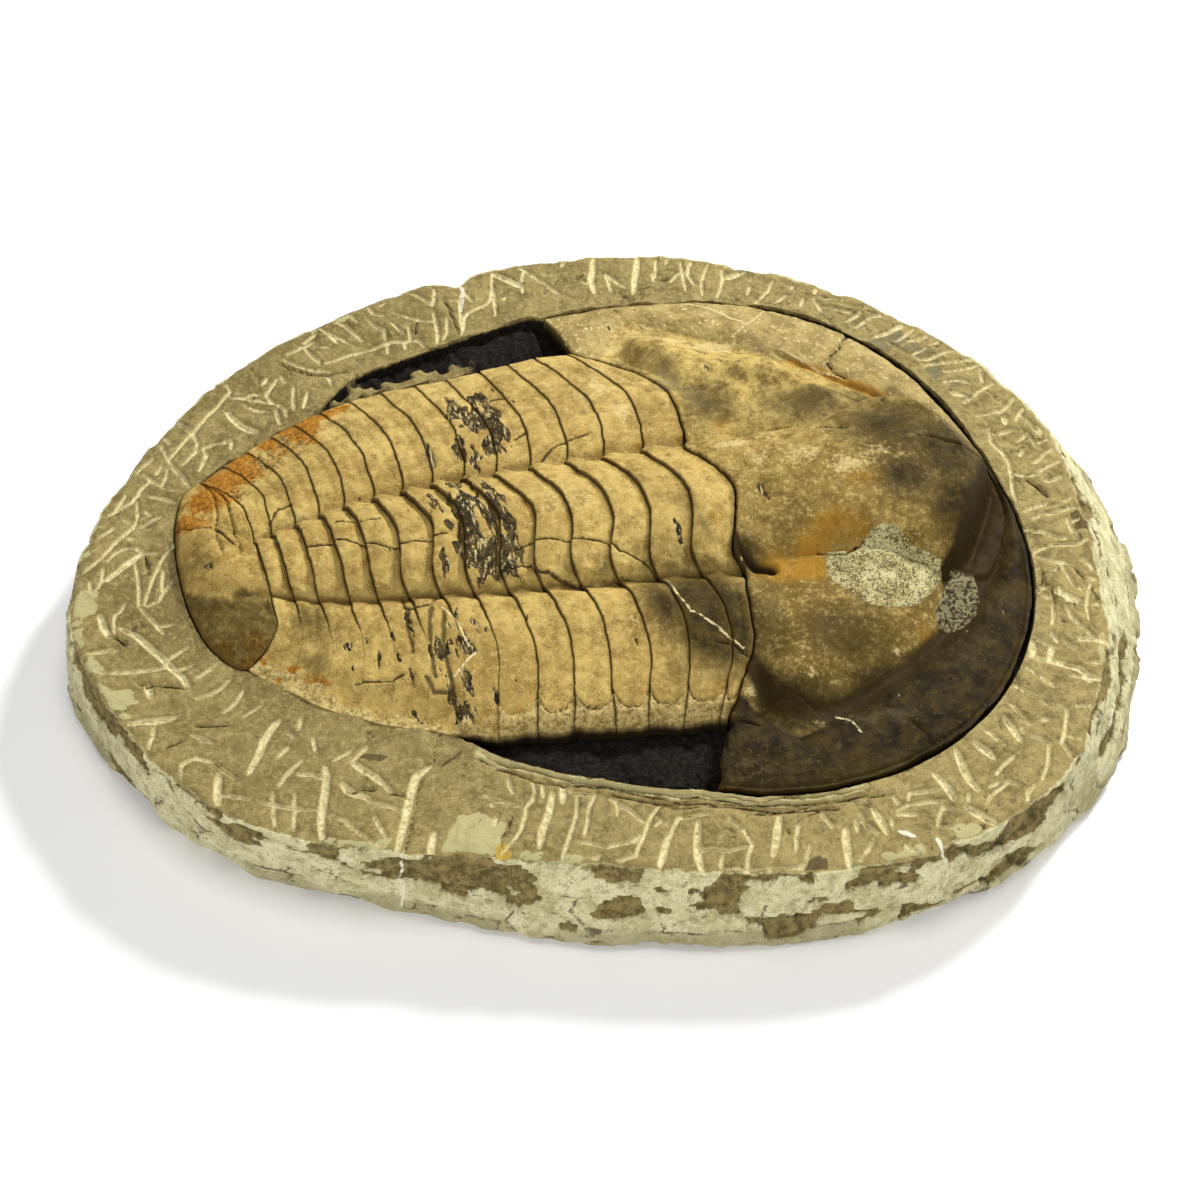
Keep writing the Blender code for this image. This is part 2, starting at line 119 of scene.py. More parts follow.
# Each light: its place and its size in metres, and its power in watts.
LIGHTS = {
    "key_light": ((.95, .95, 1.05), .36, 41),
    "fill_light": ((-.5, -1.5, .8), 1.2, 19),
    "top_light": ((.1, .1, 1.8), .8, 10),
}


def make_floor():
    bpy.ops.object.select_all(action="DESELECT")
    bpy.ops.mesh.primitive_circle_add(vertices=64, radius=FLOOR_RADIUS, fill_type="NGON")
    floor = bpy.context.active_object
    floor.name = "studio_floor"
    paper = bpy.data.materials.new("studio_paper")
    paper.use_nodes = True
    shader = paper.node_tree.nodes["Principled BSDF"]
    shader.inputs["Base Color"].default_value = FLOOR_COLOUR
    shader.inputs["Roughness"].default_value = PAPER_ROUGHNESS
    floor.data.materials.append(paper)


def make_light(name, place, size, watts):
    data = bpy.data.lights.new(name, "AREA")
    data.shape = "DISK"
    data.size = size
    data.energy = watts
    light = bpy.data.objects.new(name, data)
    light.location = place
    light.rotation_mode = "QUATERNION"
    light.rotation_quaternion = (AIM_POINT - light.location).to_track_quat("-Z", "Y")
    bpy.context.scene.collection.objects.link(light)


make_floor()
for light_name, (light_place, light_size, light_watts) in LIGHTS.items():
    make_light(light_name, Vector(light_place), light_size, light_watts)
sky = bpy.data.worlds.new("studio_sky")
sky.use_nodes = True
sky.node_tree.nodes["Background"].inputs["Color"].default_value = SKY_COLOUR
sky.node_tree.nodes["Background"].inputs["Strength"].default_value = SKY_STRENGTH
bpy.context.scene.world = sky
bpy.context.scene.view_settings.view_transform = "Standard"
print("studio is lit by", ", ".join(LIGHTS))

# %% [markdown]
# ## Noise and soft masks
# Stone needs irregularity at several sizes at once. `lumps` is value noise: random heights
# on a lattice, blended smoothly, here on whole arrays of points so that half a million
# vertices take no time. `layered` adds finer and finer lumps. `cracked_cells` gives the
# distances to the two nearest of a scatter of points, good for chips. `bell` and `hump`
# are round-topped bumps. `distance_to_line` and `blots` make masks from a few given
# points.

# %% Helpers for arrays of points
def smooth(x):
    x = np.clip(x, 0, 1)
    return x * x * (3 - 2 * x)


def bell(x, width):
    """1 where x is zero, and next to nothing beyond two widths."""
    return np.exp(-(x / width) ** 2)


def hump(x, width_x, y, width_y):
    return np.exp(-(x / width_x) ** 2 - (y / width_y) ** 2)


def chance(ix, iy, iz, seed):
    """A fixed random number between 0 and 1 for each lattice cell."""
    n = (ix * 73856093) ^ (iy * 19349663) ^ (iz * 83492791) ^ (seed * 50331653)
    n = ((n ^ (n >> 13)) * 1274126177) & 0xFFFFFFFF
    return ((n ^ (n >> 15)) & 0xFFFFF) / 0xFFFFF


def lumps(points, size, seed=0):
    """Value noise between -1 and 1, with bumps about size across."""
    q = points / size
    cell = np.floor(q).astype(np.int64)
    f = smooth(q - cell)
    total = 0
    for dx in (0, 1):
        for dy in (0, 1):
            for dz in (0, 1):
                weight = (f[:, 0] if dx else 1 - f[:, 0]) * (f[:, 1] if dy else 1 - f[:, 1])
                weight = weight * (f[:, 2] if dz else 1 - f[:, 2])
                total = total + weight * chance(cell[:, 0] + dx, cell[:, 1] + dy, cell[:, 2] + dz, seed)
    return 2 * total - 1


def layered(points, size, octaves, seed=0):
    total = np.zeros(len(points))
    for step in range(octaves):
        total += lumps(points, size * .5 ** step, seed + 31 * step) * .5 ** step
    return total


def cracked_cells(flat, size, seed=0):
    """Distances to the nearest and the second nearest scattered point, in units of size,
    and a random number that belongs to the nearest one."""
    q = flat / size
    cell = np.floor(q).astype(np.int64)
    near = np.full(len(q), 9.0)
    second = near.copy()
    owner = np.zeros(len(q))
    for dx in (-1, 0, 1):
        for dy in (-1, 0, 1):
            cx, cy = cell[:, 0] + dx, cell[:, 1] + dy
            px = cx + chance(cx, cy, 0 * cx, seed)
            py = cy + chance(cx, cy, 0 * cx, seed + 7)
            away_from = np.hypot(q[:, 0] - px, q[:, 1] - py)
            closer = away_from < near
            second = np.where(closer, near, np.minimum(second, away_from))
            owner = np.where(closer, chance(cx, cy, 0 * cx, seed + 13), owner)
            near = np.where(closer, away_from, near)
    return near, second, owner


def distance_to_line(flat, line):
    """Distance from each point to an open line of points, and how far along, 0 to 1."""
    best = np.full(len(flat), 1e3)
    along = np.zeros(len(flat))
    line = np.asarray(line, float)
    for number, (p, q) in enumerate(zip(line, line[1:])):
        run = q - p
        t = np.clip(((flat - p) @ run) / max(run @ run, 1e-9), 0, 1)
        gap = np.hypot(*(flat - p - t[:, None] * run).T)
        closer = gap < best
        best = np.where(closer, gap, best)
        along = np.where(closer, (number + t) / (len(line) - 1), along)
    return best, along


def distance_to_lines(flat, lines):
    return np.min([distance_to_line(flat, line)[0] for line in lines], axis=0)


def blots(flat, spots):
    """A soft mask from ellipses given as (a, b, reach along a, reach along b, strength)."""
    mask = np.zeros(len(flat))
    for a, b, reach_a, reach_b, strength in spots:
        mask = np.maximum(mask, strength * hump(flat[:, 0] - a, reach_a, flat[:, 1] - b, reach_b))
    return mask


def inside_outline(flat, outline):
    """Distance to a closed outline, negative inside it."""
    ring = list(outline) + [outline[0]]
    edge = distance_to_line(flat, ring)[0]
    inside = np.zeros(len(flat), bool)
    for (x0, y0), (x1, y1) in zip(ring, ring[1:]):
        crosses = (y0 > flat[:, 1]) != (y1 > flat[:, 1])
        rise = (y1 - y0) if y1 != y0 else 1e-9
        at = x0 + (flat[:, 1] - y0) * (x1 - x0) / rise
        inside ^= crosses & (flat[:, 0] < at)
    return np.where(inside, -edge, edge)


print("lumps at the origin:", round(float(lumps(np.zeros((1, 3)), 5)[0]), 3))

# %% [markdown]
# ## A frame for the animal
# It is easier to place things on the animal than in the world: `a` runs along it from tail
# to head, `b` across it from its near side to its far side, both in millimetres. The rock
# sheared the animal while it turned to stone, so the frame leans over a little.
# The numbers are those of the plain solids, so that each new piece fits its solid; only
# the laps are lower and the gaps between the rings narrower than theirs.

# %% The animal's plan
MM = .001
TOP_Z = 34
FLOOR_Z = 26
SLAB_X = -1.6
SLAB_Y = -5.8
AXIS_X = SLAB_X - 5
AXIS_Y = SLAB_Y + 5.5
SHEAR = .14
UNDERSIDE_Z = FLOOR_Z + .3

# Plate edges from head to tail: a at the furrow, half width of the axis, half width of the
# body on the far and the near side, how far the tip sweeps back, how far the ring arches.
EDGES = np.array((
    (45.5, 31, 92, 86, 24, 6),
    (31, 29.5, 94, 85, 12, 5),
    (16.5, 28.5, 94, 84.5, 9.5, 4.5),
    (2.8, 28.5, 92, 83, 7, 5),
    (-10.5, 28, 89.5, 81.5, 5, 4),
    (-23.1, 26.5, 87.5, 80.5, 5, 4),
    (-35, 26.5, 86, 80, 6, 3.5),
    (-47, 25, 84.5, 79.5, 7.5, 3),
    (-58, 23.5, 82, 77.5, 8.5, 3),
    (-69, 22.5, 78, 74, 9, 2),
    (-79.5, 21, 74, 70, 9.5, 1),
    (-89, 19.5, 69, 65, 10, .5),
    (-98.5, 17, 63, 58, 10.5, .5),
    (-107, 14.5, 57.5, 49, 12, 0),
    (-114.5, 12, 50, 39, 13.5, 0),
))
SEGMENTS = len(EDGES) - 1
NEAR_CHEEK_SETBACK = 7.5
RING_CURL = .8
SWEEP_FROM = .40
SWEEP_POWER = 1.8
FLANK_ARCH = .4
FLANK_ARCH_END = .8
HOOK_STATION = .97
HOOK_WIDTH = .075
HOOK_DEPTH = 2.4
CREST_Z = 21
FURROW_Z = 12
SHOULDER_Z = 1.4
MARGIN_Z = 3
CREST_POWER = .8
SHOULDER_END = .6
MARGIN_POWER = 2.6
TAIL_SCALE = .60
TAPER_FROM = 7
RING_LAP = 1.4
FLANK_LAP = .75


def to_world(a, b, z):
    """Points of the animal's frame, z in millimetres above the slab's top, as metres."""
    return np.stack([a - SHEAR * b + AXIS_X, b + AXIS_Y, z + TOP_Z], axis=-1) * MM


def to_body(x, y):
    """World millimetres to (a, b)."""
    b = y - AXIS_Y
    return np.stack([x - AXIS_X + SHEAR * b, b], axis=-1)


def taper(edge):
    return 1 - (1 - TAIL_SCALE) * smooth((edge - TAPER_FROM) / (SEGMENTS - TAPER_FROM))


def edge_wobble(edge, b):
    """Small nicks and waves of a plate edge."""
    place = np.stack([b, np.full_like(b, 40 * edge), np.zeros_like(b)], axis=-1)
    return .55 * lumps(place, 9, 5) + .22 * lumps(place, 2.6, 6)


def edge_points(edge, station):
    """Points (a, b) of a plate edge. A station is 0 on the axis, 1 in the furrow beside it
    and 2 at the tip, and negative on the near side. Each ring ends in a small hook."""
    a0, axis_half, far_half, near_half, sweep, arch = EDGES[edge]
    side = np.sign(station)
    t = np.abs(station)
    s = np.clip(t - 1, 0, 1)
    half = np.where(side > 0, far_half, near_half)
    on_axis = a0 + arch * np.cos(RING_CURL * np.pi * t) * (1 - np.minimum(t, 1) ** 6)
    on_flank = a0 - sweep * np.maximum(0, (s - SWEEP_FROM) / (1 - SWEEP_FROM)) ** SWEEP_POWER
    on_flank = on_flank + FLANK_ARCH * arch * np.sin(np.pi * np.minimum(1, s / FLANK_ARCH_END))
    if edge == 0:
        on_flank = on_flank - np.where(side < 0, NEAR_CHEEK_SETBACK * np.sin(np.pi * s), 0)
    a = np.where(t <= 1, on_axis, on_flank)
    b = side * np.where(t <= 1, axis_half * t, axis_half + (half - axis_half) * s)
    hook = bell(station - HOOK_STATION, HOOK_WIDTH) * (edge > 0)
    return a + edge_wobble(edge, b) - HOOK_DEPTH * hook * taper(edge), b


def shell_height(edge, station):
    """Height of the shell above the slab's face, before laps and furrows."""
    t = np.abs(station)
    s = np.clip(t - 1, 0, 1)
    ring = FURROW_Z + (CREST_Z - FURROW_Z) * np.maximum(0, 1 - t * t) ** CREST_POWER
    shoulder = SHOULDER_Z * np.sin(np.pi * np.minimum(1, s / SHOULDER_END))
    flank = FURROW_Z + shoulder - (FURROW_Z - MARGIN_Z) * s ** MARGIN_POWER
    return np.where(t <= 1, ring, flank) * taper(edge)


print("the thorax runs from a =", EDGES[0][0], "to a =", EDGES[-1][0])

# %% [markdown]
# ## Cracks, stains and patches of the animal
# What the rock and the carver did to this one animal doesn't follow a rule, so it is listed
# in the animal's frame, in millimetres: cracks and veins are lines of a few points,
# stains are soft ellipses (a, b, reach along a, reach along b, strength), and the two
# speckled repairs of the head are closed outlines.

# %% Marks on the animal
CRACKS = (
    ((-30, -16), (-24, -13), (-17, -13), (-9, -15), (2, -16), (5, -21), (12, -24), (17, -30)),
    ((-33, -22), (-28, -21), (-26, -20), (-24, -24), (-19, -26), (-12, -28), (-5, -31), (1, -28),
     (9, -30), (15, -29)),
    ((-10, 29), (-5, 33), (0, 37), (5, 38), (9, 39), (13, 41)), ((-14, 42), (-9, 45)),
    ((-16, 67), (-11, 67)), ((-98, 1), (-88, 1), (-81, -2), (-71, -7), (-61, -7), (-51, -6)),
    ((-95, -54), (-89, -55), (-83, -56), (-79, -55)),
    ((-71, -22), (-72, -29), (-69, -30), (-64, -30), (-60, -26), (-67, -25)), ((90, 21), (99, 17)),
    ((124, 7), (131, 2), (137, -1), (143, 0)),
    ((128, 87), (124, 83), (121, 78), (116, 74), (114, 71), (115, 66), (118, 63)),
    ((21, -88), (25, -90), (30, -92)), ((17, -86), (20, -87), (16, -100)),
    ((79, -99), (82, -103), (82, -108)), ((26, -60), (31, -62), (35, -68)),
    ((38, -75), (41, -81), (45, -85), (50, -89)), ((-86, 10), (-80, 9.5)), ((-78, 7), (-71, 7)),
    ((-140, 27), (-127, 21), (-122, 10)), ((-108, 20), (-103, 26), (-98, 27)),
    ((72, -30), (80, -33), (88, -29)), ((74, 29), (78, 31), (84, 30)),
)
VEINS = (
    ((16, -29), (18, -34), (19, -41), (21, -48), (26, -52), (30, -58), (34, -64)),
    ((-60, -32), (-57, -38), (-55, -49)), ((-54, -52), (-63, -59)),
    ((56, -92), (60, -96), (61, -101)), ((99, 82), (105, 75), (110, 68), (117, 63)),
    ((72, 115), (80, 109), (87, 100), (90, 98)), ((84, 91), (93, 97), (101, 104)),
    ((73, 84), (80, 83.5)),
)
SCORED_LINES = (
    ((-71, -30), (-73, -38), (-74, -47)), ((-63, -31), (-67, -44), (-69, -58)),
    ((-60, -34), (-63, -47), (-64, -60), (-65, -67)), ((-72, -57), (-71, -63), (-66, -64)),
)
DARK_SPOTS = (
    (-25, 56, 8, 13, .95), (-20, 44, 5, 10, .7), (-42, 2, 9, 14, .65), (-38, -16, 9, 8, 1),
    (-33, 16, 7, 10, .6), (-58, -44, 3, 14, .5), (-64, -52, 3, 12, .5),
    (-50, -46, 2.5, 14, .45), (-44, -58, 2.5, 10, .4), (-68, -44, 2.5, 12, .4),
    (-78, -52, 2.5, 10, .4), (-88, -36, 2.5, 8, .35), (-66, -66, 5, 6, .6),
    (-31, 62, 3.2, 9, 1), (-26, 53, 3.6, 8, 1), (-18, 57, 3, 12, .95),
    (-21, 70, 6, 3.5, .9), (-34, 41, 3, 8, .8), (-24, 40, 3.4, 7, .75),
    (-30, 34, 2.4, 5, .7), (-52, 8, 2, 8, .85), (-50, -2, 3, 3, .85),
    (-41, 22, 3.4, 8, .8), (-39, 8, 3.6, 9, .9), (-43, -8, 4.4, 7, .95), (-32, 6, 2.6, 9, .85),
    (-30, -8, 2.6, 8, .85), (-44, -17, 5.5, 4.5, 1.1), (-34, -19, 3, 4.5, 1.05),
    (-40, -21, 5, 3.5, 1.1), (-47, -13, 3, 5, .9), (-54, -17, 2.6, 6, .8),
    (-72, -38, 1.6, 8, .75), (-56, -50, 2.5, 3, .85), (-60, -62, 2.6, 6, .75),
    (-48, -52, 1.4, 9, .55), (-41, -45, 1.4, 9, .5), (-34, -43, 1.2, 5, .5),
    (-52, -68, 1.6, 5, .7), (-71, -72, 4.2, 5, .7), (-64, -72, 4, 5, .8),
    (-80, -69, 4, 6, .55), (-45, 40, 2.6, 8, .42), (58, -4, 4, 5, .5), (64, -3, 4, 4, .4),
    (27, -16, 2.2, 5, .65), (-132, 2, 3, 1.6, .6), (-94, -40, 2, 2, .55),
    (-96, -48, 3, 2, .5), (-86, -44, 1.2, 8, .4),
)
RUST_SPOTS = (
    (-96, 58, 8, 7, .5), (-112, 50, 9, 8, .75), (-124, 40, 9, 9, .8), (-134, 28, 8, 7, .6),
    (-86, 68, 8, 8, .8), (-137, 28, 7, 6, .9), (-128, 37, 7, 6, .95), (-119, 48, 7, 5, .9),
    (-110, 57, 7, 5, .85), (-100, 64, 6, 5, .75), (-90, 71, 7, 5.5, 1), (-80, 74, 8, 5, 1),
    (-71, 76, 7, 4, .7), (-84, 60, 4, 5, .6), (-105, 47, 5, 5, .4), (-136, -30, 7, 4, .75),
    (-127, -38, 7, 4, .8), (-118, -44, 8, 4, .9), (-108, -50, 7, 4, .7), (-124, -30, 6, 6, .6),
    (-52, 25, 3, 3, .3), (-49, -79, 5, 3, .75), (-38, -80, 5, 3, .7), (-43, -74, 8, 5, .3),
    (33, -70, 5, 5, .4), (24, -76, 7, 4, .4),
)
GOLD_SPOTS = (
    (56, -34, 9, 7, .9), (66, -37, 9, 8, .95), (80, -24, 12, 8, .8), (70, -28, 10, 6, .8),
    (95, -8, 12, 8, .5), (60, 36, 6, 6, .6), (62, 28, 8, 5, .5), (100, 55, 8, 5, .6),
    (41, -14, 4, 10, .5), (30, -20, 5, 8, .5), (44, 33, 4, 5, .55), (29, 32, 4, 5, .5),
    (12, 42, 5, 4, .5), (14, 33, 4, 4, .4), (0, -34, 6, 4, .4), (88, 12, 26, 14, .3),
    (100, -68, 6, 8, .7), (86, -88, 9, 6, .75), (97, -77, 8, 7, .5), (118, -62, 5, 6, .4),
    (101, 90, 9, 6, .85), (116, 80, 5, 5, .5), (125, 62, 8, 5, 1), (134, 52, 7, 5, 1),
    (142, 40, 5, 6, .8), (111, 73, 5, 4, .7), (120, 12, 14, 10, .2), (-35, 30, 6, 4, .35),
)
UMBER_SPOTS = (
    # head shield
    (114, 16, 24, 24, .85), (110, -10, 15, 13, .85), (128, 0, 18, 24, .9),
    (126, -24, 16, 16, 1), (94, 42, 26, 13, .72), (120, 46, 22, 13, .80),
    (60, 48, 12, 15, .70), (47, -28, 8, 9, .75), (68, -66, 24, 15, .72), (42, -60, 14, 20, .7),
    (45, -88, 24, 12, 1), (82, -81, 26, 13, 1), (64, -102, 60, 11, .9),
    (106, -84, 24, 12, .9), (124, -66, 16, 14, .85), (140, -36, 14, 22, 1),
    (150, -8, 10, 18, 1), (100, -44, 14, 12, .7), (28, -96, 20, 12, .95),
    (140, 58, 10, 12, .5), (128, 78, 10, 6, .35), (148, 30, 8, 14, .8), (36, -16, 8, 12, .5),
    (64, -18, 10, 8, .35), (82, -24, 10, 6, .4),
    # thorax
    (28, -50, 18, 25, 1.2), (13, -44, 9, 16, .9), (10, -70, 8, 12, .5), (14, -20, 8, 8, .4),
    (33, -8, 6, 16, .45), (22, 4, 9, 20, .30), (8, 2, 7, 18, .25), (28, -25, 8, 9, .6),
    (12, -26, 6, 6, .5), (-2, -25, 5, 5, .5), (-14, -24, 5, 5, .45), (20, 74, 5, 14, .3),
    (4, 66, 5, 16, .25), (-12, 70, 5, 14, .25), (-30, 24, 5, 6, .35), (-58, 30, 8, 12, .2),
    (-45, 58, 7, 12, .2), (-4, -79, 8, 6, .3), (36, 50, 7, 14, .3), (40, 30, 10, 9, .35),
    # tail
    (-104, -27, 8, 11, .62), (-95, -32, 5, 9, .4), (-106, -42, 7, 6, .6),
    (-122, -12, 8, 3, .8), (-112, 2, 6, 12, .3), (-122, 20, 6, 8, .3),
)
PALE_SPOTS = (
    (35, 93, 9, 3, .9), (56, 94, 14, 4, .85), (72, 88, 14, 4.5, .9), (58, 104, 14, 4, .6),
    (30, 80, 8, 8, .5), (24, 66, 4, 8, .7), (28, 50, 4, 6, .75), (15, 62, 4, 6, .45),
    (45, 100, 26, 10, .45), (80, 100, 22, 8, .4), (58, 21, 7, 4, .7), (64, 10, 6, 5, .6),
    (80, 8, 10, 7, .6), (92, -2, 12, 6, .65), (104, 2, 8, 5, .5), (74, 24, 10, 5, .4),
    # The small pale spots along the head's near border are partly pale stone and partly painted glints of
    # light.
    (50, -92, 3, 4, .5), (66, -95, 9, 2.6, .75), (76, -96, 7, 3, .8), (60, -94, 6, 3, .7),
    (20, -106, 5, 2.2, .75), (27, -110, 5, 2, .65), (39, -109, 4, 1.8, .7),
    (51, -106, 1.6, 1.6, .9), (52, -79, 3, 2.5, .6), (33, -79, 4, 3, .7),
    (85, -70, 1.4, 1.4, .9), (-2, -60, 5, 20, .3), (0, 55, 6, 16, .25), (-6, 4, 20, 14, .44),
    (-96, -62, 14, 8, .25), (-97, 21, 7, 7, .45), (-78, 12, 6, 5, .4),
)
BLUE_SPOTS = (
    (50, 66, 7, 10, .8), (55, 52, 6, 9, .9), (44, 76, 6, 6, .5), (18, 60, 4, 10, .5),
    (31, 57, 4, 8, .45), (86, -30, 8, 5, .2), (48, -52, 10, 14, .35), (36, -68, 10, 8, .35),
    (70, -84, 24, 5, .5), (-46, 38, 4, 9, .6), (-84, 56, 5, 8, .35), (110, 46, 14, 5, .5),
)
PORE_SPOTS = (
    (-92, 60, 6, 9, 1), (-101, 54, 6, 8, 1), (-83, 62, 5, 9, .6), (-109, 46, 6, 7, .85),
    (-117, 38, 6, 6, .7), (-10, -55, 6, 20, .35), (2, -48, 6, 14, .5), (8, -60, 5, 14, .4),
    (60, 12, 26, 18, .3), (-108, -8, 6, 8, .6), (-128, 6, 12, 12, .35),
)
REPAIR_OUTLINES = (
    ((74, -30), (84, -32), (91, -27), (95, -26), (100, -27), (104, -33), (110, -37), (113, -38),
     (112, -43), (106, -49), (97, -55), (87, -57), (80, -56), (76, -51), (72, -45), (71, -41),
     (73, -35)),
    ((120, -39), (124, -41), (124, -45), (122, -52), (118, -58), (112, -62), (108, -63),
     (104, -61), (104, -58), (107, -53), (112, -46), (116, -40)),
)
print(len(CRACKS), "cracks and", len(DARK_SPOTS), "dark flakes on the animal")

# %% [markdown]
# ## From a flat grid to a plate
# Every plate starts as a flat grid. `lay_grid` adds it and gives back each vertex's column
# and row; the shape is then sculpted by moving the vertices in code, as one would with a
# brush. `paint` keeps a value for every vertex. `close_below` works in edit mode: it picks
# the open rim, extrudes it a little way and then down to the plates' common underside,
# which lies just above the hollow's floor, fills the hole and turns all faces outwards.

# %% Grid tools
PLATE_SMOOTH_ANGLE = math.radians(62)
LIP_DROP_MM = .5
# Share of painted shade on the first ring of a plate's wall.
LIP_SHADE = .4
BOX_MARGIN = 1e-5


def deselect_all():
    for item in bpy.context.view_layer.objects:
        item.select_set(False)


def lay_grid(name, columns, rows):
    deselect_all()
    bpy.ops.mesh.primitive_grid_add(x_subdivisions=columns - 1, y_subdivisions=rows - 1, size=2)
    item = bpy.context.active_object
    item.name = name
    item.data.name = name
    flat = read_places(item)
    column = np.rint((flat[:, 0] + 1) * .5 * (columns - 1)).astype(int)
    row = np.rint((flat[:, 1] + 1) * .5 * (rows - 1)).astype(int)
    return item, column, row


def read_places(item):
    flat = np.empty(3 * len(item.data.vertices))
    item.data.vertices.foreach_get("co", flat)
    return flat.reshape(-1, 3)


def write_places(item, places):
    item.data.vertices.foreach_set("co", np.ascontiguousarray(places, dtype=float).ravel())
    item.data.update()


def paint(item, name, values):
    """Keeps a value for each vertex under a name that a material can read."""
    layer = item.data.attributes.new(name, "FLOAT", "POINT")
    padded = np.zeros(len(item.data.vertices))
    padded[:len(values)] = values
    layer.data.foreach_set("value", padded)


def paint_all(item, masks):
    for name, values in masks.items():
        paint(item, name, values)


def select_open_rim():
    bpy.ops.mesh.select_mode(type="EDGE")
    bpy.ops.mesh.select_all(action="DESELECT")
    bpy.ops.mesh.select_non_manifold(extend=False, use_wire=False, use_boundary=True,
                                     use_multi_face=False, use_non_contiguous=False, use_verts=False)


def close_below(item, depth_z):
    """Walls the rim of a plate down to depth_z, in world millimetres, and closes it there.
    The walls carry a value named deep, which a finish turns into painted shade, as in the gaps between the
    plates."""
    top = len(item.data.vertices)
    bpy.ops.object.mode_set(mode="EDIT")
    select_open_rim()
    bpy.ops.mesh.extrude_region_move(TRANSFORM_OT_translate={"value": (0, 0, -LIP_DROP_MM * MM)})
    bpy.ops.mesh.extrude_region_move(TRANSFORM_OT_translate={"value": (0, 0, -MM)})
    bpy.ops.object.mode_set(mode="OBJECT")
    places = read_places(item)
    wall = (len(places) - top) // 2
    places[top + wall:, 2] = depth_z * MM
    write_places(item, places)
    # Painted shade on the walls: part of it on the first ring, all of it below.
    deep = np.zeros(len(places))
    deep[top:top + wall] = LIP_SHADE
    deep[top + wall:] = 1
    paint(item, "deep", deep)
    bpy.ops.object.mode_set(mode="EDIT")
    select_open_rim()
    bpy.ops.mesh.fill_holes(sides=0)
    bpy.ops.mesh.select_all(action="SELECT")
    bpy.ops.mesh.normals_make_consistent(inside=False)
    bpy.ops.object.mode_set(mode="OBJECT")
    bpy.ops.object.shade_smooth_by_angle(angle=PLATE_SMOOTH_ANGLE)


def stay_in_box(places):
    """Clips every point into the solids' box, so that no relief stands outside it."""
    low, high = (np.array(corner) for corner in solid_box)
    return np.clip(places, low + BOX_MARGIN, high - BOX_MARGIN)


print("the underside of every plate lies", UNDERSIDE_Z, "mm above the ground")
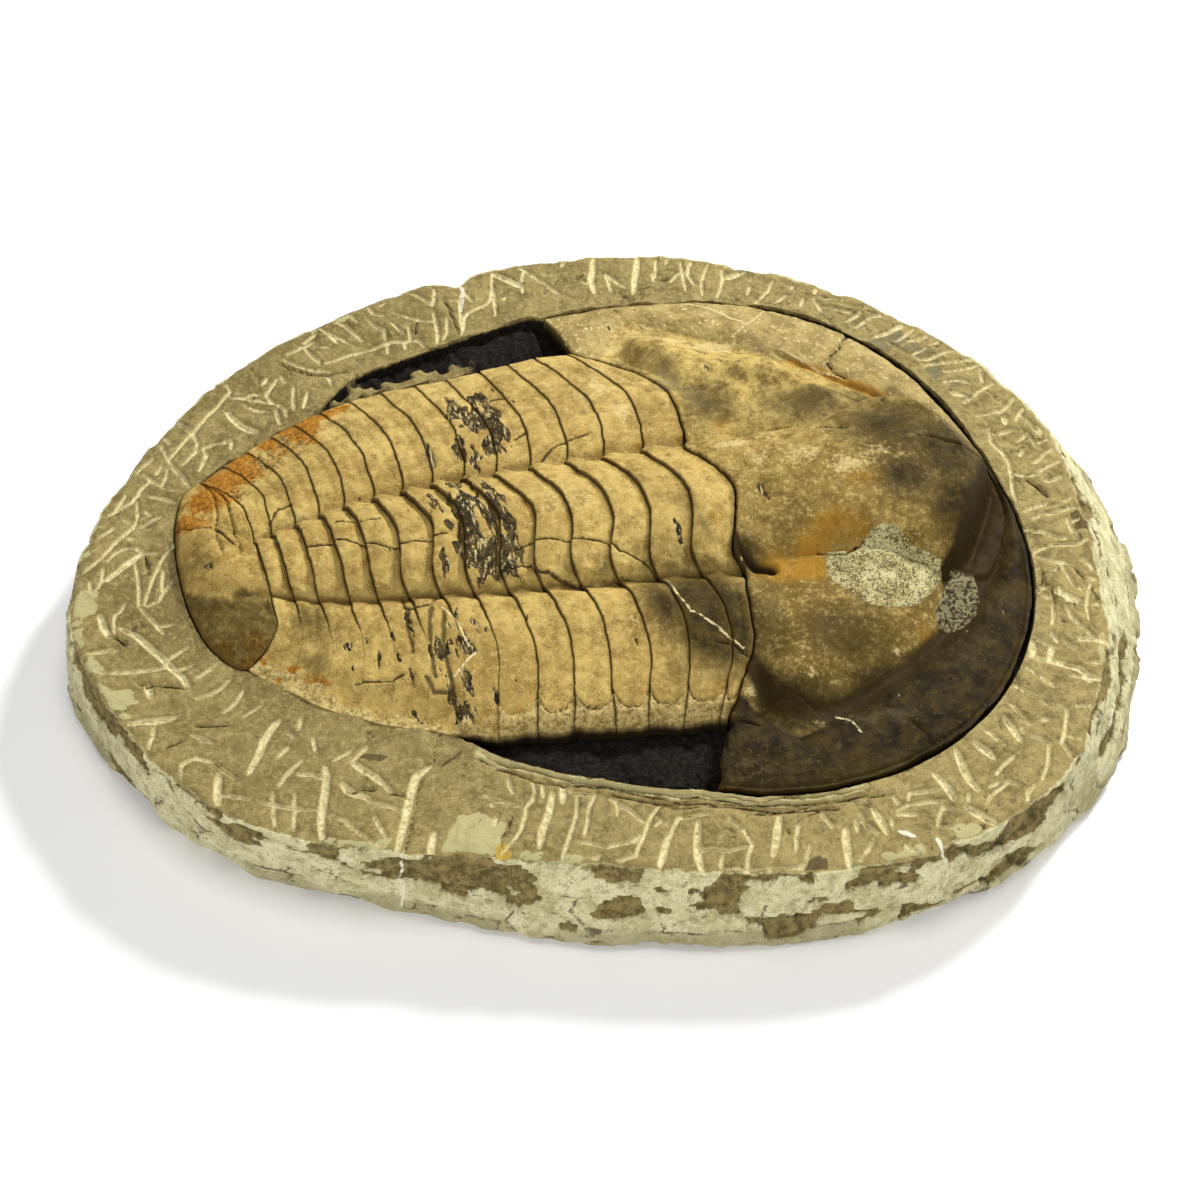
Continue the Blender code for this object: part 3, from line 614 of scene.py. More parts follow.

# %% [markdown]
# ## The carver's strokes
# The ring of rock round the animal is scored all over with short pale chisel strokes. They
# don't repeat, so each is listed, in the order in which they follow round the slab. A row
# holds the points of one stroke, and each point is two numbers: degrees round the slab,
# and the share of the way from the slab's rim to the hollow. BROAD_STROKES lists the
# strokes made with a wide chisel.

# %% List the strokes
STROKES = (
    # head end and far right
    (2.9, .05, 2.6, .2, 2.6, .36), (5.4, -.05, 5, .2, 4.3, .38), (3.8, .4, 4, .6, 4.9, .8),
    (7.4, -.08, 7.3, .08, 6.3, .3, 6.2, .37), (9.3, -.05, 8.9, .15), (7.6, .13, 9, .2, 10.6, .2),
    (11.7, -.05, 10.4, .05, 12.5, .06, 14, .09), (15.2, -.03, 14.5, .1, 13.6, .22),
    (11.2, .2, 10.6, .3, 10.2, .43), (12.3, .3, 12.4, .5, 12.6, .63),
    (17, -.02, 16.2, .15, 15.8, .3, 16, .45, 16.5, .65),
    (20.5, -.02, 20.3, .15, 20.2, .3, 19.6, .42), (23.3, 0, 21.4, .12), (19.7, .45, 19.3, .65),
    (22.1, .3, 23.2, .42, 24.1, .58), (24, -.08, 24.3, .1, 25, .3, 25.7, .43),
    (25.5, -.05, 26.4, .15, 27.4, .35, 28.3, .55),
    (27.9, -.08, 28.4, .1, 28.5, .25, 28.8, .4, 29.4, .52), (30.2, -.05, 30.6, .15),
    (30.4, .25, 30.8, .4, 30.7, .5), (32.1, -.02, 32.5, .18, 33.2, .3),
    (34.2, -.03, 34.3, .1, 34.1, .3, 34.4, .4), (30, .5, 32.5, .53, 35, .48),
    (38.6, -.04, 40, .1, 40.2, .3, 40.5, .48), (41.5, .15, 41.7, .3, 42.2, .48),
    (41, -.05, 43, .12, 44.8, .18), (42.5, .25, 44.5, .33),
    (0, .95, 2, .93, 4.5, .82, 7, .72, 9.5, .75, 11.5, .75, 14, .62), (8.5, .4, 7.6, .52),
    # far side, right half
    (45, .08, 47.5, .13, 49.5, .2), (48.6, .2, 47, .35, 46.3, .45), (45, .3, 46.8, .37),
    (49.3, -.08, 48.9, .1), (49.8, .3, 49.3, .5), (52.3, .08, 52.2, .18),
    (52.3, .33, 52.6, .45, 53, .58), (55.3, .1, 55.1, .35, 55.4, .5, 55.8, .7), (58, .3, 57.8, .5),
    (63, .05, 62.3, .25, 62, .5, 62, .75), (65.1, -.05, 65.2, .2, 65.1, .45, 64.7, .6, 64.3, .72),
    (67.5, -.05, 67.8, .1, 67.6, .3, 66.2, .52), (69.1, .05, 68.6, .25, 67.9, .45, 67.2, .65),
    (69, .3, 69.9, .5), (71.1, -.08, 71.2, .1), (72.8, -.05, 72.6, .2, 72.3, .38),
    (73, .3, 72.5, .5), (80.3, .25, 78.7, .45, 77, .65), (80.2, .3, 79.6, .5, 79.2, .7),
    (84, .42, 83.2, .5), (86, -.1, 86.8, .05), (89.5, .18, 87.5, .2), (90, .3, 89, .45, 88, .6),
    # far side, left half
    (93.5, -.08, 92.2, .08, 91, .2, 90.2, .33), (92.7, .1, 93.2, .28), (93.3, .35, 93.6, .5),
    (97.3, .03, 97.9, .2, 98.1, .35, 98.6, .55, 99.3, .8),
    (98.3, .3, 98.9, .45, 99.8, .53, 103.5, .53, 104.5, .65, 105.5, .85, 106.7, .97),
    (96.3, .4, 96.9, .55), (102.4, .1, 101.8, .35), (103, .08, 104, .35, 105.3, .7, 106, .9),
    (103.5, .2, 105, .25), (106.2, 0, 107, .18, 107.9, .3, 108.8, .12, 109.8, -.03),
    (113.9, .22, 112.5, .38, 110.3, .55, 109, .58),
    (108.5, .42, 109.3, .62, 110.3, .82, 111.5, .98), (107.2, .6, 108.4, .82, 110, .93),
    (113, -.05, 114.8, .02), (116.3, -.1, 116.5, .1, 115.6, .22),
    (115.6, .35, 115.2, .55, 114.9, .62), (117.8, .13, 117.9, .35, 117.3, .48, 118.2, .62),
    (119.1, -.08, 119.3, .15), (122.2, -.05, 121, .1, 121, .3, 121.1, .47),
    (124.3, -.1, 124, .1, 123.2, .3, 122.8, .5), (124, .15, 124.1, .33), (125, .03, 127.8, .1),
    (126.6, .16, 131, .16), (127, .28, 125.3, .38),
    (128.5, .59, 125, .62, 121, .67, 117.3, .7, 116, .76, 114.8, .77),
    (113.6, .55, 114.4, .7, 115, .77, 113.8, .83, 113.7, .95), (118.7, .72, 119.6, .85),
    (116, .78, 116.6, .87), (126.2, -.1, 129.5, -.06),
    (131.9, .2, 131.5, .4, 130.8, .55, 129, .72), (128.4, .2, 128.8, .4, 129, .55),
    (130, .75, 131, .9), (134.5, .35, 135, .45),
    # behind the tail
    (135.3, .35, 137.3, .39, 138.7, .42, 139.3, .55, 139.7, .75, 140.8, .85),
    (139.7, -.05, 140.6, .12, 143.5, .18, 147.5, .24, 150, .26, 153, .3, 154.5, .33),
    (141.7, .2, 141, .32, 140, .5, 139.6, .58), (136, .26, 137.5, .29), (138.8, .35, 141, .3),
    (142, .4, 142.2, .55, 141.7, .65),
    (148.4, -.08, 148.9, .1, 149.7, .25, 150.8, .42, 152.5, .53, 155.2, .57),
    (135, .57, 137.5, .7, 139.2, .82), (135, .77, 138, .85), (140.4, .68, 141.8, .82, 142.7, .92),
    (151.4, -.1, 151.8, .05, 152.3, .16),
    (153, .05, 154, .2, 155, .35, 156, .5, 157, .7, 158, .85, 158.7, 1),
    (155, .1, 156.8, .03, 158.2, -.05),
    (157.5, .05, 158, .2, 158.6, .38, 159, .55, 159.4, .75, 159.7, .98), (155.8, .3, 157.3, .3),
    (158.3, .28, 160.5, .25, 161, .29, 162.5, .25, 163.5, .15, 164.6, .05, 165, -.02),
    (160.8, .28, 161.2, .55, 161.3, .8, 161.8, 1), (156.3, .42, 157.7, .5, 159, .5),
    (151.5, .55, 150, .65, 148.9, .73, 149.5, .8, 150.5, .87),
    (151.5, .55, 152.6, .7, 154.2, .8, 155.5, .86), (161.6, .1, 163, .08, 164, .08),
    (162.5, .35, 163.7, .43, 165, .48, 166.3, .47, 168.2, .32, 169.5, .24, 171.5, .17, 173, .05,
     174.5, -.08),
    (165.5, .28, 165.8, .45), (168.5, .02, 167.6, .12, 166.8, .2),
    (172, .25, 170.6, .32, 169.7, .45, 169.8, .55, 170.6, .7, 170.6, .85),
    (166.5, .52, 165.3, .68, 164.7, .78, 164.5, .85), (163.8, .55, 164.3, .68),
    (166.4, .62, 166.6, .72), (168.3, .42, 168.2, .52), (173, .22, 175, .23, 176.2, .2),
    (172.3, .58, 175, .62, 177, .62, 179.5, .6), (180, .4, 178.5, .48),
    (179.2, .65, 176.5, .73, 174, .8, 172.5, .86, 171, .92, 169.3, 1.05),
    (179.5, .68, 178.7, .8, 177.3, .87, 175.7, .97), (177, .85, 175, .88, 173.5, .9),
    (175, .1, 176.5, .13),
    # near left
    (183, .33, 181, .35, 180, .38), (185.2, .03, 185.3, .2, 185.6, .3),
    (188.2, .05, 188.8, .2, 189.4, .4, 189.8, .6), (180, .62, 182, .7, 184.5, .75),
    (188.7, .63, 188, .75, 187.1, .9), (190.8, .65, 190.5, .83),
    (192.8, .73, 192.3, .85, 191.4, 1.02), (183, .75, 183, .88),
    (195.8, .55, 196, .68, 195.6, .78, 194.6, .9), (200.9, -.05, 199, .08, 197.4, .16),
    (199.6, .6, 198.8, .75, 197.2, .88), (201.7, .67, 201.4, .83), (201, .3, 202, .33, 203.6, .36),
    (206, 0, 204.3, .08, 204.3, .18, 206, .25), (207, .24, 209.7, .23), (210.5, .5, 209.8, .65),
    (207.3, .75, 209.3, .72), (208.3, .8, 206.5, .9), (211, .08, 213.4, .13),
    (214.2, .3, 213.4, .43, 213, .58), (214.3, .45, 215.5, .5, 217.2, .48), (210.8, .78, 213, .68),
    (218.5, -.02, 216.5, .1, 214.3, .25), (214.5, .14, 217.5, .17, 220.2, .2),
    (220.5, -.02, 218.5, .15, 216.3, .3), (216, .65, 216.8, .8), (218.3, .68, 218.2, .83),
    (225, .17, 222.5, .2), (230.5, 0, 228, .07, 225, .15), (230.5, .08, 227.2, .25),
    (229.8, .33, 227.5, .35, 225, .37), (227, .47, 225, .53),
    # near front
    (246.2, .02, 247.2, .15, 247.8, .3, 247.8, .5, 247.5, .58, 248.3, .65, 248.3, .75, 247.5, .83),
    (254.7, 0, 255, .15, 255.5, .35, 256, .55, 255.8, .75),
    (257.5, .3, 257.9, .5, 258, .65, 259, .8),
    (256.7, .21, 259, .18, 261, .15, 263, .22, 265, .28, 266, .37),
    (260.3, -.08, 263, 0, 265, .08, 265.6, .22, 266.5, .35, 267.3, .5, 268.3, .65, 269.8, .78),
    (266.8, .55, 265, .68, 262.8, .75, 261.5, .78), (262.8, .6, 262.8, .78), (254.5, .8, 258, .78),
    (250, .7, 249.3, .83), (244.7, .68, 243.7, .75, 242.8, .83), (241.8, .5, 243, .52),
    (240, .6, 246.3, .55), (258.5, -.03, 260, .03), (268.5, .5, 270, .6), (243.7, .3, 243.6, .42),
    (270, .3, 271.2, .5, 272.5, .65, 275, .68, 277.5, .7),
    (273.7, .22, 276, .25, 278, .23, 280.5, .3), (276, 0, 277, .17),
    (274.5, -.08, 277, 0, 280, -.01, 283.5, -.03, 286, 0, 287, .12, 288.5, .3),
    (279, -.1, 280, .15, 281.5, .33, 281.3, .5, 280, .68), (281.9, -.1, 282, 0),
    (286.3, .22, 287.5, .42, 289.5, .7), (292.5, 0, 294.5, .17, 296, .3), (292.5, .52, 292.5, .77),
    (295, .43, 295.8, .58), (296.7, .35, 296.5, .55, 297, .68), (298.8, .4, 299.5, .48),
    (298.5, 0, 298.2, .12), (303, .2, 304.5, .35, 306, .45), (306.5, .35, 305.5, .43),
    (300.5, .53, 302.5, .44), (301, .58, 303, .6, 305, .57, 306.5, .5),
    (303.3, .66, 304.3, .75, 306, .7, 307.5, .65), (301.8, .65, 302.3, .78),
    (308.3, .35, 309.3, .45), (309.2, .22, 310.5, .28, 313.7, .3, 313.8, .1),
    (312, -.05, 313.5, .06, 315, .08), (313.5, .45, 315, .48), (311.5, .38, 312.8, .36),
    # near right
    (315, .48, 317, .48), (316, .07, 318, .13, 320.8, .27, 321.1, .4, 321, .58, 321.5, .65),
    (320, -.07, 320.8, .03, 321.5, .17, 323, .2, 326, .24, 326.2, .35, 325.9, .55),
    (323.2, -.02, 322.7, .15), (328, -.03, 327, .2), (331.2, .07, 331.5, .2, 331.2, .37),
    (334.3, -.02, 333.8, .12), (322.5, .57, 323.2, .75, 324.4, .95),
    (317.8, .65, 318.2, .8, 318.7, .98), (324, .4, 323.5, .5),
    (326.8, .68, 326.8, .85, 327.5, 1.02), (328.7, .52, 329.5, .7, 330.5, .95, 331, 1.05),
    (338.8, -.1, 337.8, .05), (335.3, .35, 335.8, .48, 336.3, .56), (337.2, .42, 337.3, .52),
    (337.8, .17, 338.9, .33, 340, .47, 341.7, .53), (342.8, -.1, 342.4, .08),
    (340, .2, 342, .2, 344.5, .12, 346, .05), (344.5, .25, 345.5, .38, 347, .48, 348.7, .58),
    (346.6, -.1, 346.6, .08), (347, -.08, 348.5, 0, 349.6, .1, 349.3, .18),
    (348.5, .2, 348.5, .4, 348.7, .6, 349.3, .85, 350, 1), (347.3, .65, 347.5, .85),
    (352.6, -.05, 351.8, .15, 351.7, .35, 351.8, .6, 351.2, .8, 350.3, 1),
    (352.5, .3, 353, .5, 353.9, .75, 354.5, 1.05), (356, 0, 355.3, .18), (353.5, .23, 356, .23),
    (358, -.05, 357.6, .15, 357.2, .4, 357, .65, 356.3, .85),
    (358.4, .3, 358.8, .5, 358.3, .75, 357.6, .95), (359.5, 0, 358.8, .17),
    (335, .68, 335.3, .8, 336, 1), (336, .65, 336.8, .72, 337.3, .8),
    (338.5, .77, 340, .75, 341.5, .77), (342.5, .83, 343.2, .9, 343.8, 1.05),
    (344.3, .85, 344.3, .98), (342.4, .52, 344.5, .65),
)
BROAD_STROKES = (
    (14.9, .31, 13.7, .39), (20.4, .52, 21.8, .64), (35.7, -.05, 35.9, .1, 36.4, .3, 37.2, .5),
    (60.1, 0, 61.2, .1, 61.8, .2), (75.6, -.1, 75.5, .2, 75.6, .45, 75.4, .8),
    (82, -.08, 82.1, .2, 82.5, .4, 82, .7), (97.2, 0, 95.5, .15, 94, .32, 93.3, .38),
    (144.6, .36, 145.3, .5, 145.7, .65, 145.6, .85), (175, .27, 173.8, .37, 172.2, .5, 170.6, .65),
    (180, .22, 182, .24, 183.5, .27),
    (182.5, .4, 184, .5, 186, .57, 188, .62, 192.5, .64, 194.2, .58), (193.5, .3, 191.5, .36),
    (196, 0, 196.3, .1, 197, .2, 197.5, .32),
    (210.2, .3, 208.5, .47, 206.7, .6, 205.5, .73, 205, .8), (212.3, -.05, 210, .07, 207.8, .2),
    (224.5, -.05, 222, .13, 220, .3, 217.5, .5, 216, .58), (225, .38, 221.5, .42, 220, .47),
    (225, .53, 222, .6, 218.7, .66),
    (233.3, -.1, 232, .12, 230.5, .35, 229, .53, 228, .65, 229, .75),
    (237.3, -.1, 236.6, .05, 236, .17), (251.2, .1, 251, .3, 251.5, .55, 251.4, .77),
    (253.5, .68, 253, .88), (268, -.05, 269, .15, 270, .35),
    (273.6, -.08, 273.6, .15, 274.2, .35, 275.3, .6),
    (283.3, .17, 284.5, .35, 285.7, .55, 287.2, .75), (290.8, -.08, 292, .15, 293, .35, 294, .5),
    (297.7, .33, 298.2, .5, 298.7, .68), (308, -.05, 307.7, .15, 307.6, .3),
    (307.5, .45, 308.3, .65, 308.8, .85), (310.3, .42, 311, .6, 312.5, .8, 314, .98),
    (331.9, -.1, 331.8, .1, 332.5, .25, 332.6, .45, 332.7, .65, 332.6, .98),
    (319.7, .55, 320.7, .7, 321.8, .87), (315.5, .62, 316.3, .9),
    (337, -.1, 337.3, .1, 337.2, .2, 336.8, .35), (342.4, .25, 342.7, .45, 343.3, .6, 344, .7),
    (333, .7, 335, .72), (333, .95, 335, 1),
)
print(len(STROKES) + len(BROAD_STROKES), "chisel strokes")

# %% [markdown]
# ## The slab
# The slab is one strip of grid rolled round its middle: the rows climb the side wall, cross
# the top face and go down into the hollow, and the two ends of the strip are welded. A
# strip keeps its vertices dense where the relief is and few where the animal hides it.
# The large shape comes from the same radii as the solid slab; the flakes of the wall and
# the grooves of the chisel are added in code, because they depend on distances to lines.

# %% Shape of the slab
TOP_RADII = (176, 177, 172, 166, 162, 159, 157, 157, 161, 168, 175, 183,
             189, 181, 171, 154, 139, 134, 138, 150, 167, 180, 181, 177)
FLARE = (20, 16, 10, 6, 4, 4, 4, 4, 4, 4, 4, 4, 4, 1, -2, -3, 2, 7, 6, 5, 1, 2, 9, 16)
NOTCH_ANGLE = math.radians(103)
NOTCH_WIDTH = .035
NOTCH_DEPTH = 5
RIM_ROUGHNESS = 1.3
FACE_ROUGHNESS = .9
FOOT_INSET = 2
RIM_INSET = 1
RIM_DROP = 1.2
RIM_SETBACK = 4
HEAD_CLEARANCE = 2.6
WALL_GAP = .9
TIGHT_FROM = 9
FAR_TRENCH = ((14, 118.5), (-1, 115), (-21, 109), (-42, 103), (-60, 97), (-72, 87))
NEAR_TRENCH = ((-66, -79), (-51, -91), (-27, -102), (4, -112), (20, -118))
SNUG_MIDDLE = (-60, 0)
HEAD_MIDDLE = 42
HEAD_REACH = 109
HEAD_HALF_WIDTH = 117
HEAD_SWELL = .085
GENAL_FAR_A = 18
GENAL_NEAR_A = 8
TAIL_BACK = -128
TAIL_DEPTH = 15
TAIL_HALF_FAR = 49.5
TAIL_HALF_NEAR = 38

SLAB_COLUMNS = 1060
WALL_ROWS = 27
TOP_ROWS = 45
INNER_ROWS = 16
WALL_LEVELS = ((0, 0), (3, 0), (12, .3), (22, .65), (30, .95), (TOP_Z - RIM_DROP, 1))
FACE_SHARES = (0, .33, .66, 1)


def genal_turn(side):
    corner = np.where(side > 0, GENAL_FAR_A, GENAL_NEAR_A)
    return np.arccos((corner - HEAD_MIDDLE) / HEAD_REACH)


def head_swell(turn):
    """How far the head's outline stands beyond a plain ellipse at its far front."""
    far_front = (turn > 0) & (turn < .5 * np.pi)
    return 1 + np.where(far_front, HEAD_SWELL * np.sin(2 * turn) ** 2, 0)


def head_outline(turn, clearance=0, swollen=True):
    swell = head_swell(turn) if swollen else 1
    a = HEAD_MIDDLE + (HEAD_REACH * swell + clearance) * np.cos(turn)
    return a, (HEAD_HALF_WIDTH * swell + clearance) * np.sin(turn)


def tail_outline(c):
    turn = .5 * np.pi * c
    half = np.where(c > 0, TAIL_HALF_FAR, TAIL_HALF_NEAR)
    return TAIL_BACK - TAIL_DEPTH * np.cos(turn), half * np.sin(turn)


print("head outline reaches from b =", -HEAD_HALF_WIDTH, "to b =", HEAD_HALF_WIDTH)


# %% Radii of the slab and of its hollow
def ring_value(values, angle):
    """A smooth closed curve through values given at even angles."""
    count = len(values)
    values = np.array(values, float)
    place = (angle / (2 * np.pi)) % 1 * count
    i = np.floor(place).astype(int)
    f = place - i
    p0, p1, p2, p3 = (values[(i + k) % count] for k in (-1, 0, 1, 2))
    bend = 2 * p0 - 5 * p1 + 4 * p2 - p3
    return p1 + .5 * f * (p2 - p0 + f * (bend + f * (3 * (p1 - p2) + p3 - p0)))


def rough(angle, level, scale):
    """Seamless noise round the slab, the same as in the solid slab."""
    return np.array([noise.noise(Vector((scale * math.cos(t), scale * math.sin(t), level)))
                     for t in angle])


def recess_radius(angle, swollen=True):
    """Radius of the hollow that holds the animal."""
    side = np.arange(-24, 25)
    head = list(zip(*head_outline(genal_turn(side) * side / 24, HEAD_CLEARANCE, swollen)))
    tips = EDGES[TIGHT_FROM:]
    far = [(tip[0] - tip[4], tip[2]) for tip in tips]
    near = [(tip[0] - tip[4], -tip[3]) for tip in tips[::-1]]
    tail = [tail_outline(c / 6) for c in range(5, -6, -1)]
    snug = np.array(far + tail + near)
    out = snug - np.array(SNUG_MIDDLE)
    snug = snug + WALL_GAP * out / np.hypot(out[:, 0], out[:, 1])[:, None]
    ring = np.array(head + list(FAR_TRENCH) + [tuple(p) for p in snug] + list(NEAR_TRENCH), float)
    x = ring[:, 0] - SHEAR * ring[:, 1] + AXIS_X - SLAB_X
    y = ring[:, 1] + AXIS_Y - SLAB_Y
    known = np.arctan2(y, x) % (2 * np.pi)
    return 1 / np.interp(angle, known, 1 / np.hypot(x, y), period=2 * np.pi)


def outer_radius(angle, level):
    top = ring_value(TOP_RADII, angle)
    off = (angle - NOTCH_ANGLE + np.pi) % (2 * np.pi) - np.pi
    top = top - NOTCH_DEPTH * bell(off, NOTCH_WIDTH) * level
    chips = rough(angle, 3 * level, 9) + .6 * rough(angle, 5 + 4 * level, 27)
    return top + ring_value(FLARE, angle) * (1 - level) + RIM_ROUGHNESS * chips


quarters = np.radians((0, 90, 180, 270))
print("rim at the quarter turns:", np.round(outer_radius(quarters, 1)).tolist(), "mm")

# %% [markdown]
# The strokes come next. Each stroke only touches the few columns near it, so its distance
# is measured there and nowhere else. What is kept for every vertex is a distance in
# millimetres beyond the stroke's own half width: a material can turn that into a crisp
# edge even where the mesh is coarser than the edge.

# %% Other marks of the slab
VEIN_LINES = (
    (301, -.1, 301.3, 0, 301.5, .08), (102.5, -.1, 102.6, .05, 103.2, .2, 104.4, .5),
    (300, .2, 298.8, .3),
)
# Veins of the wall: degrees, half width, and the heights between which it runs.
WALL_VEINS = ((233.4, .9, 3, 34), (301.2, .6, 14, 34), (300.2, .4, 5, 20), (102.5, .5, 10, 34))
SLAB_CRACKS = (
    (183.5, .3, 185, .38), (191, .3, 192.4, .45, 193.7, .58), (200, .37, 202, .55),
    (201, .1, 201.1, .22), (226, 1.1, 227.5, .9, 229, .8, 230.5, .78, 232, .92),
    (245.3, .18, 245.8, .3, 246, .45), (234.3, -.1, 233, .12, 231.5, .35, 230, .53, 229, .65),
    (286.8, .48, 287, .53), (296.2, .58, 296.4, .62), (346.5, .17, 347.8, .3),
    (339.3, .58, 339.5, .63), (133, .2, 132.6, .4, 131.8, .55, 130.2, .72, 127.6, .86),
    (105.8, .2, 106.2, .5, 107, .95), (112, .5, 113.5, .7), (170.5, .68, 173, .72),
    (290.8, .73, 292.6, .77), (222, .43, 225, .47, 229.5, .44), (84, .3, 84.6, .36),
    (70.5, .43, 71.4, .47), (96.4, .41, 97, .45),
    (236, .93, 248, .86, 262, .93, 274, .86, 288, .8, 300, .88),
    (240, .98, 255, .95, 270, .97, 283, .93), (262, .84, 272, .8, 281, .84),
    (280, .88, 291, .9, 302, .8), (284, .78, 295, .77), (345, .93, 347, .9), (342, .73, 344, .77),
    (0, .4, 2, .52, 3.5, .65),
)
# Stained and rasped places: from degree, to degree, from share, to share.
RASPED = (
    (177, 188, -.14, .03), (187, 195, -.14, .0), (191, 194, 0, .2), (176.5, 180, 0, .2),
    (165, 172, -.14, .0), (225, 231, -.14, .03), (238, 245.5, -.05, .36), (249, 251.6, -.12, .03),
    (254, 257.5, -.12, .03), (295, 299.5, -.14, .05), (303.4, 306, -.12, .12),
    (334, 337, -.14, .03), (352, 357, -.14, -.02), (20, 30, -.14, -.04), (55, 64, -.14, -.03),
    (119, 129, -.14, -.02), (149, 158, -.14, -.03),
)
OCHRE = ((245, 248, -.12, .1),)
BLUE = ((22, 23.5, .42, .56), (25, 27.5, .42, .62), (29.5, 33, .28, .5), (33.5, 36.8, .22, .72))
STAIN = (
    (354, 357, -.06, .18), (300, 307, -.14, -.02), (286.5, 289, -.04, .08), (219, 222, .7, .78),
    (343, 346, -.02, .05),
)
print(len(SLAB_CRACKS), "cracks and", len(RASPED), "rasped places on the slab")

# %% Distances to the strokes
STROKE_HALF = .70
BROAD_HALF = 1.30
CRACK_HALF = .2
VEIN_HALF = .8
ARC_PER_DEGREE = 2.9
BOX_ARC_PER_DEGREE = 2.8
RIM_TO_HOLLOW = 42
COLUMN_REACH = 3
FAR_AWAY = 9.0


def polar_boxes(degrees, share, boxes, soft):
    """A soft mask from boxes given as (from degree, to degree, from share, to share)."""
    mask = np.zeros_like(share)
    for low, high, inner, outer in boxes:
        across = np.minimum(degrees - low, high - degrees) * BOX_ARC_PER_DEGREE
        along = np.minimum(share - inner, outer - share) * RIM_TO_HOLLOW
        mask = np.maximum(mask, smooth(.5 + np.minimum(across, along) / soft))
    return mask


def stroke_distance(x, y, degrees, outer, inner, lines, half, reach=7):
    """Millimetres beyond the half width of the nearest line; lines taper at their ends."""
    best = np.full(x.shape, FAR_AWAY)
    for line in lines:
        turn, share = np.reshape(line, (-1, 2)).T
        columns = np.where((degrees > turn.min() - COLUMN_REACH) & (degrees < turn.max() + COLUMN_REACH))[0]
        rim = np.interp(turn, degrees, outer)
        radius = rim + (np.interp(turn, degrees, inner) - rim) * share
        points = np.stack([radius * np.cos(np.radians(turn)), radius * np.sin(np.radians(turn))], axis=1)
        block = np.stack([x[:, columns].ravel(), y[:, columns].ravel()], axis=1)
        gap, along = distance_to_line(block, points)
        width = half * (.55 + .45 * np.sin(np.pi * np.clip(along, 0, 1)) ** .5)
        gap = np.minimum(gap - width, reach).reshape(len(x), len(columns))
        best[:, columns] = np.minimum(best[:, columns], gap)
    return best


print("a stroke is", 2 * STROKE_HALF, "mm wide and a broad one", 2 * BROAD_HALF, "mm")

# %% The strip before any relief
RIM_SHARE = -.1
HOLLOW_SHARE = 1.02
HOLLOW_SHARE_STEP = .1
HOLLOW_EDGE_STEPS = 5
HOLLOW_EDGE_DROP = .8
HOLLOW_LEAN = 1.5
FLOOR_STEP = 3.2
LAST_FLOOR_STEP = 90


def slab_profile(angle, outer, inner):
    """Radius, height and share of every row of the strip. The share is the way from the
    rim (0) to the hollow (1); it goes on below -0.1 down the wall and above 1 inside."""
    rows = WALL_ROWS + TOP_ROWS + INNER_ROWS
    radius = np.zeros((rows, len(angle)))
    height = np.zeros_like(radius)
    share = np.zeros_like(radius)
    knots = np.array([z for z, level in WALL_LEVELS])
    profile = np.stack([outer_radius(angle, level) for z, level in WALL_LEVELS])
    profile[0] -= FOOT_INSET
    profile[-1] -= RIM_INSET
    for r, z in enumerate(np.linspace(0, knots[-1], WALL_ROWS)):
        k = min(np.searchsorted(knots, z, side="right") - 1, len(knots) - 2)
        f = (z - knots[k]) / (knots[k + 1] - knots[k])
        radius[r] = profile[k] * (1 - f) + profile[k + 1] * f
        height[r] = z
        share[r] = RIM_SHARE - (1 + RIM_SHARE) * (TOP_Z - z) / TOP_Z
    lifts = np.stack([rough(angle, 9 + s, 7) + .7 * rough(angle, 2 + s, 23)
                      for s in FACE_SHARES])
    for r in range(TOP_ROWS):
        s = r / (TOP_ROWS - 1)
        k = min(int(np.searchsorted(FACE_SHARES, s, side="right")) - 1, len(FACE_SHARES) - 2)
        f = (s - FACE_SHARES[k]) / (FACE_SHARES[k + 1] - FACE_SHARES[k])
        radius[WALL_ROWS + r] = outer + (inner + .3 - outer) * s
        height[WALL_ROWS + r] = TOP_Z + FACE_ROUGHNESS * (lifts[k] * (1 - f) + lifts[k + 1] * f)
        share[WALL_ROWS + r] = s
    edge_z = TOP_Z - HOLLOW_EDGE_DROP
    for r in range(INNER_ROWS):
        down = min(1, r / HOLLOW_EDGE_STEPS)
        last = r == INNER_ROWS - 1
        inward = LAST_FLOOR_STEP if last else max(0, r - HOLLOW_EDGE_STEPS) * FLOOR_STEP
        radius[WALL_ROWS + TOP_ROWS + r] = inner - HOLLOW_LEAN * down - inward
        height[WALL_ROWS + TOP_ROWS + r] = edge_z - (edge_z - FLOOR_Z) * down
        share[WALL_ROWS + TOP_ROWS + r] = HOLLOW_SHARE + HOLLOW_SHARE_STEP * r
    return radius, height, share


def strip_noise(place, size, octaves, seed):
    """Layered noise for places kept in rows and columns."""
    return layered(place.reshape(-1, 3), size, octaves, seed).reshape(place.shape[:2])


def strip_cells(across, up, size, seed):
    """Cell distances and cell numbers for places kept in rows and columns."""
    flat = np.stack([across.ravel(), up.ravel()], axis=1)
    return [found.reshape(across.shape) for found in cracked_cells(flat, size, seed)]


print("the strip has", WALL_ROWS + TOP_ROWS + INNER_ROWS, "rows and", SLAB_COLUMNS, "columns")

# %% [markdown]
# The floor of the hollow shows only beside the animal, as two trenches. There it carries
# rubble, and in the narrow rear part of the far one a bank stands beside the ring tips.

# %% Rubble in the trenches
RUBBLE_Z = 2
RUBBLE_RELIEF = 2.2
RUBBLE_TOP_Z = TOP_Z - FLOOR_Z - 1
BANK_Z = 10
BANK_WIDTH = 11
BANK_SLOPE = .12
TRENCH_REAR_A = -72
NEAR_HEAD_A = 21.5
NEAR_HEAD_SLOPE = .52
HEAD_MARGIN = 2.5


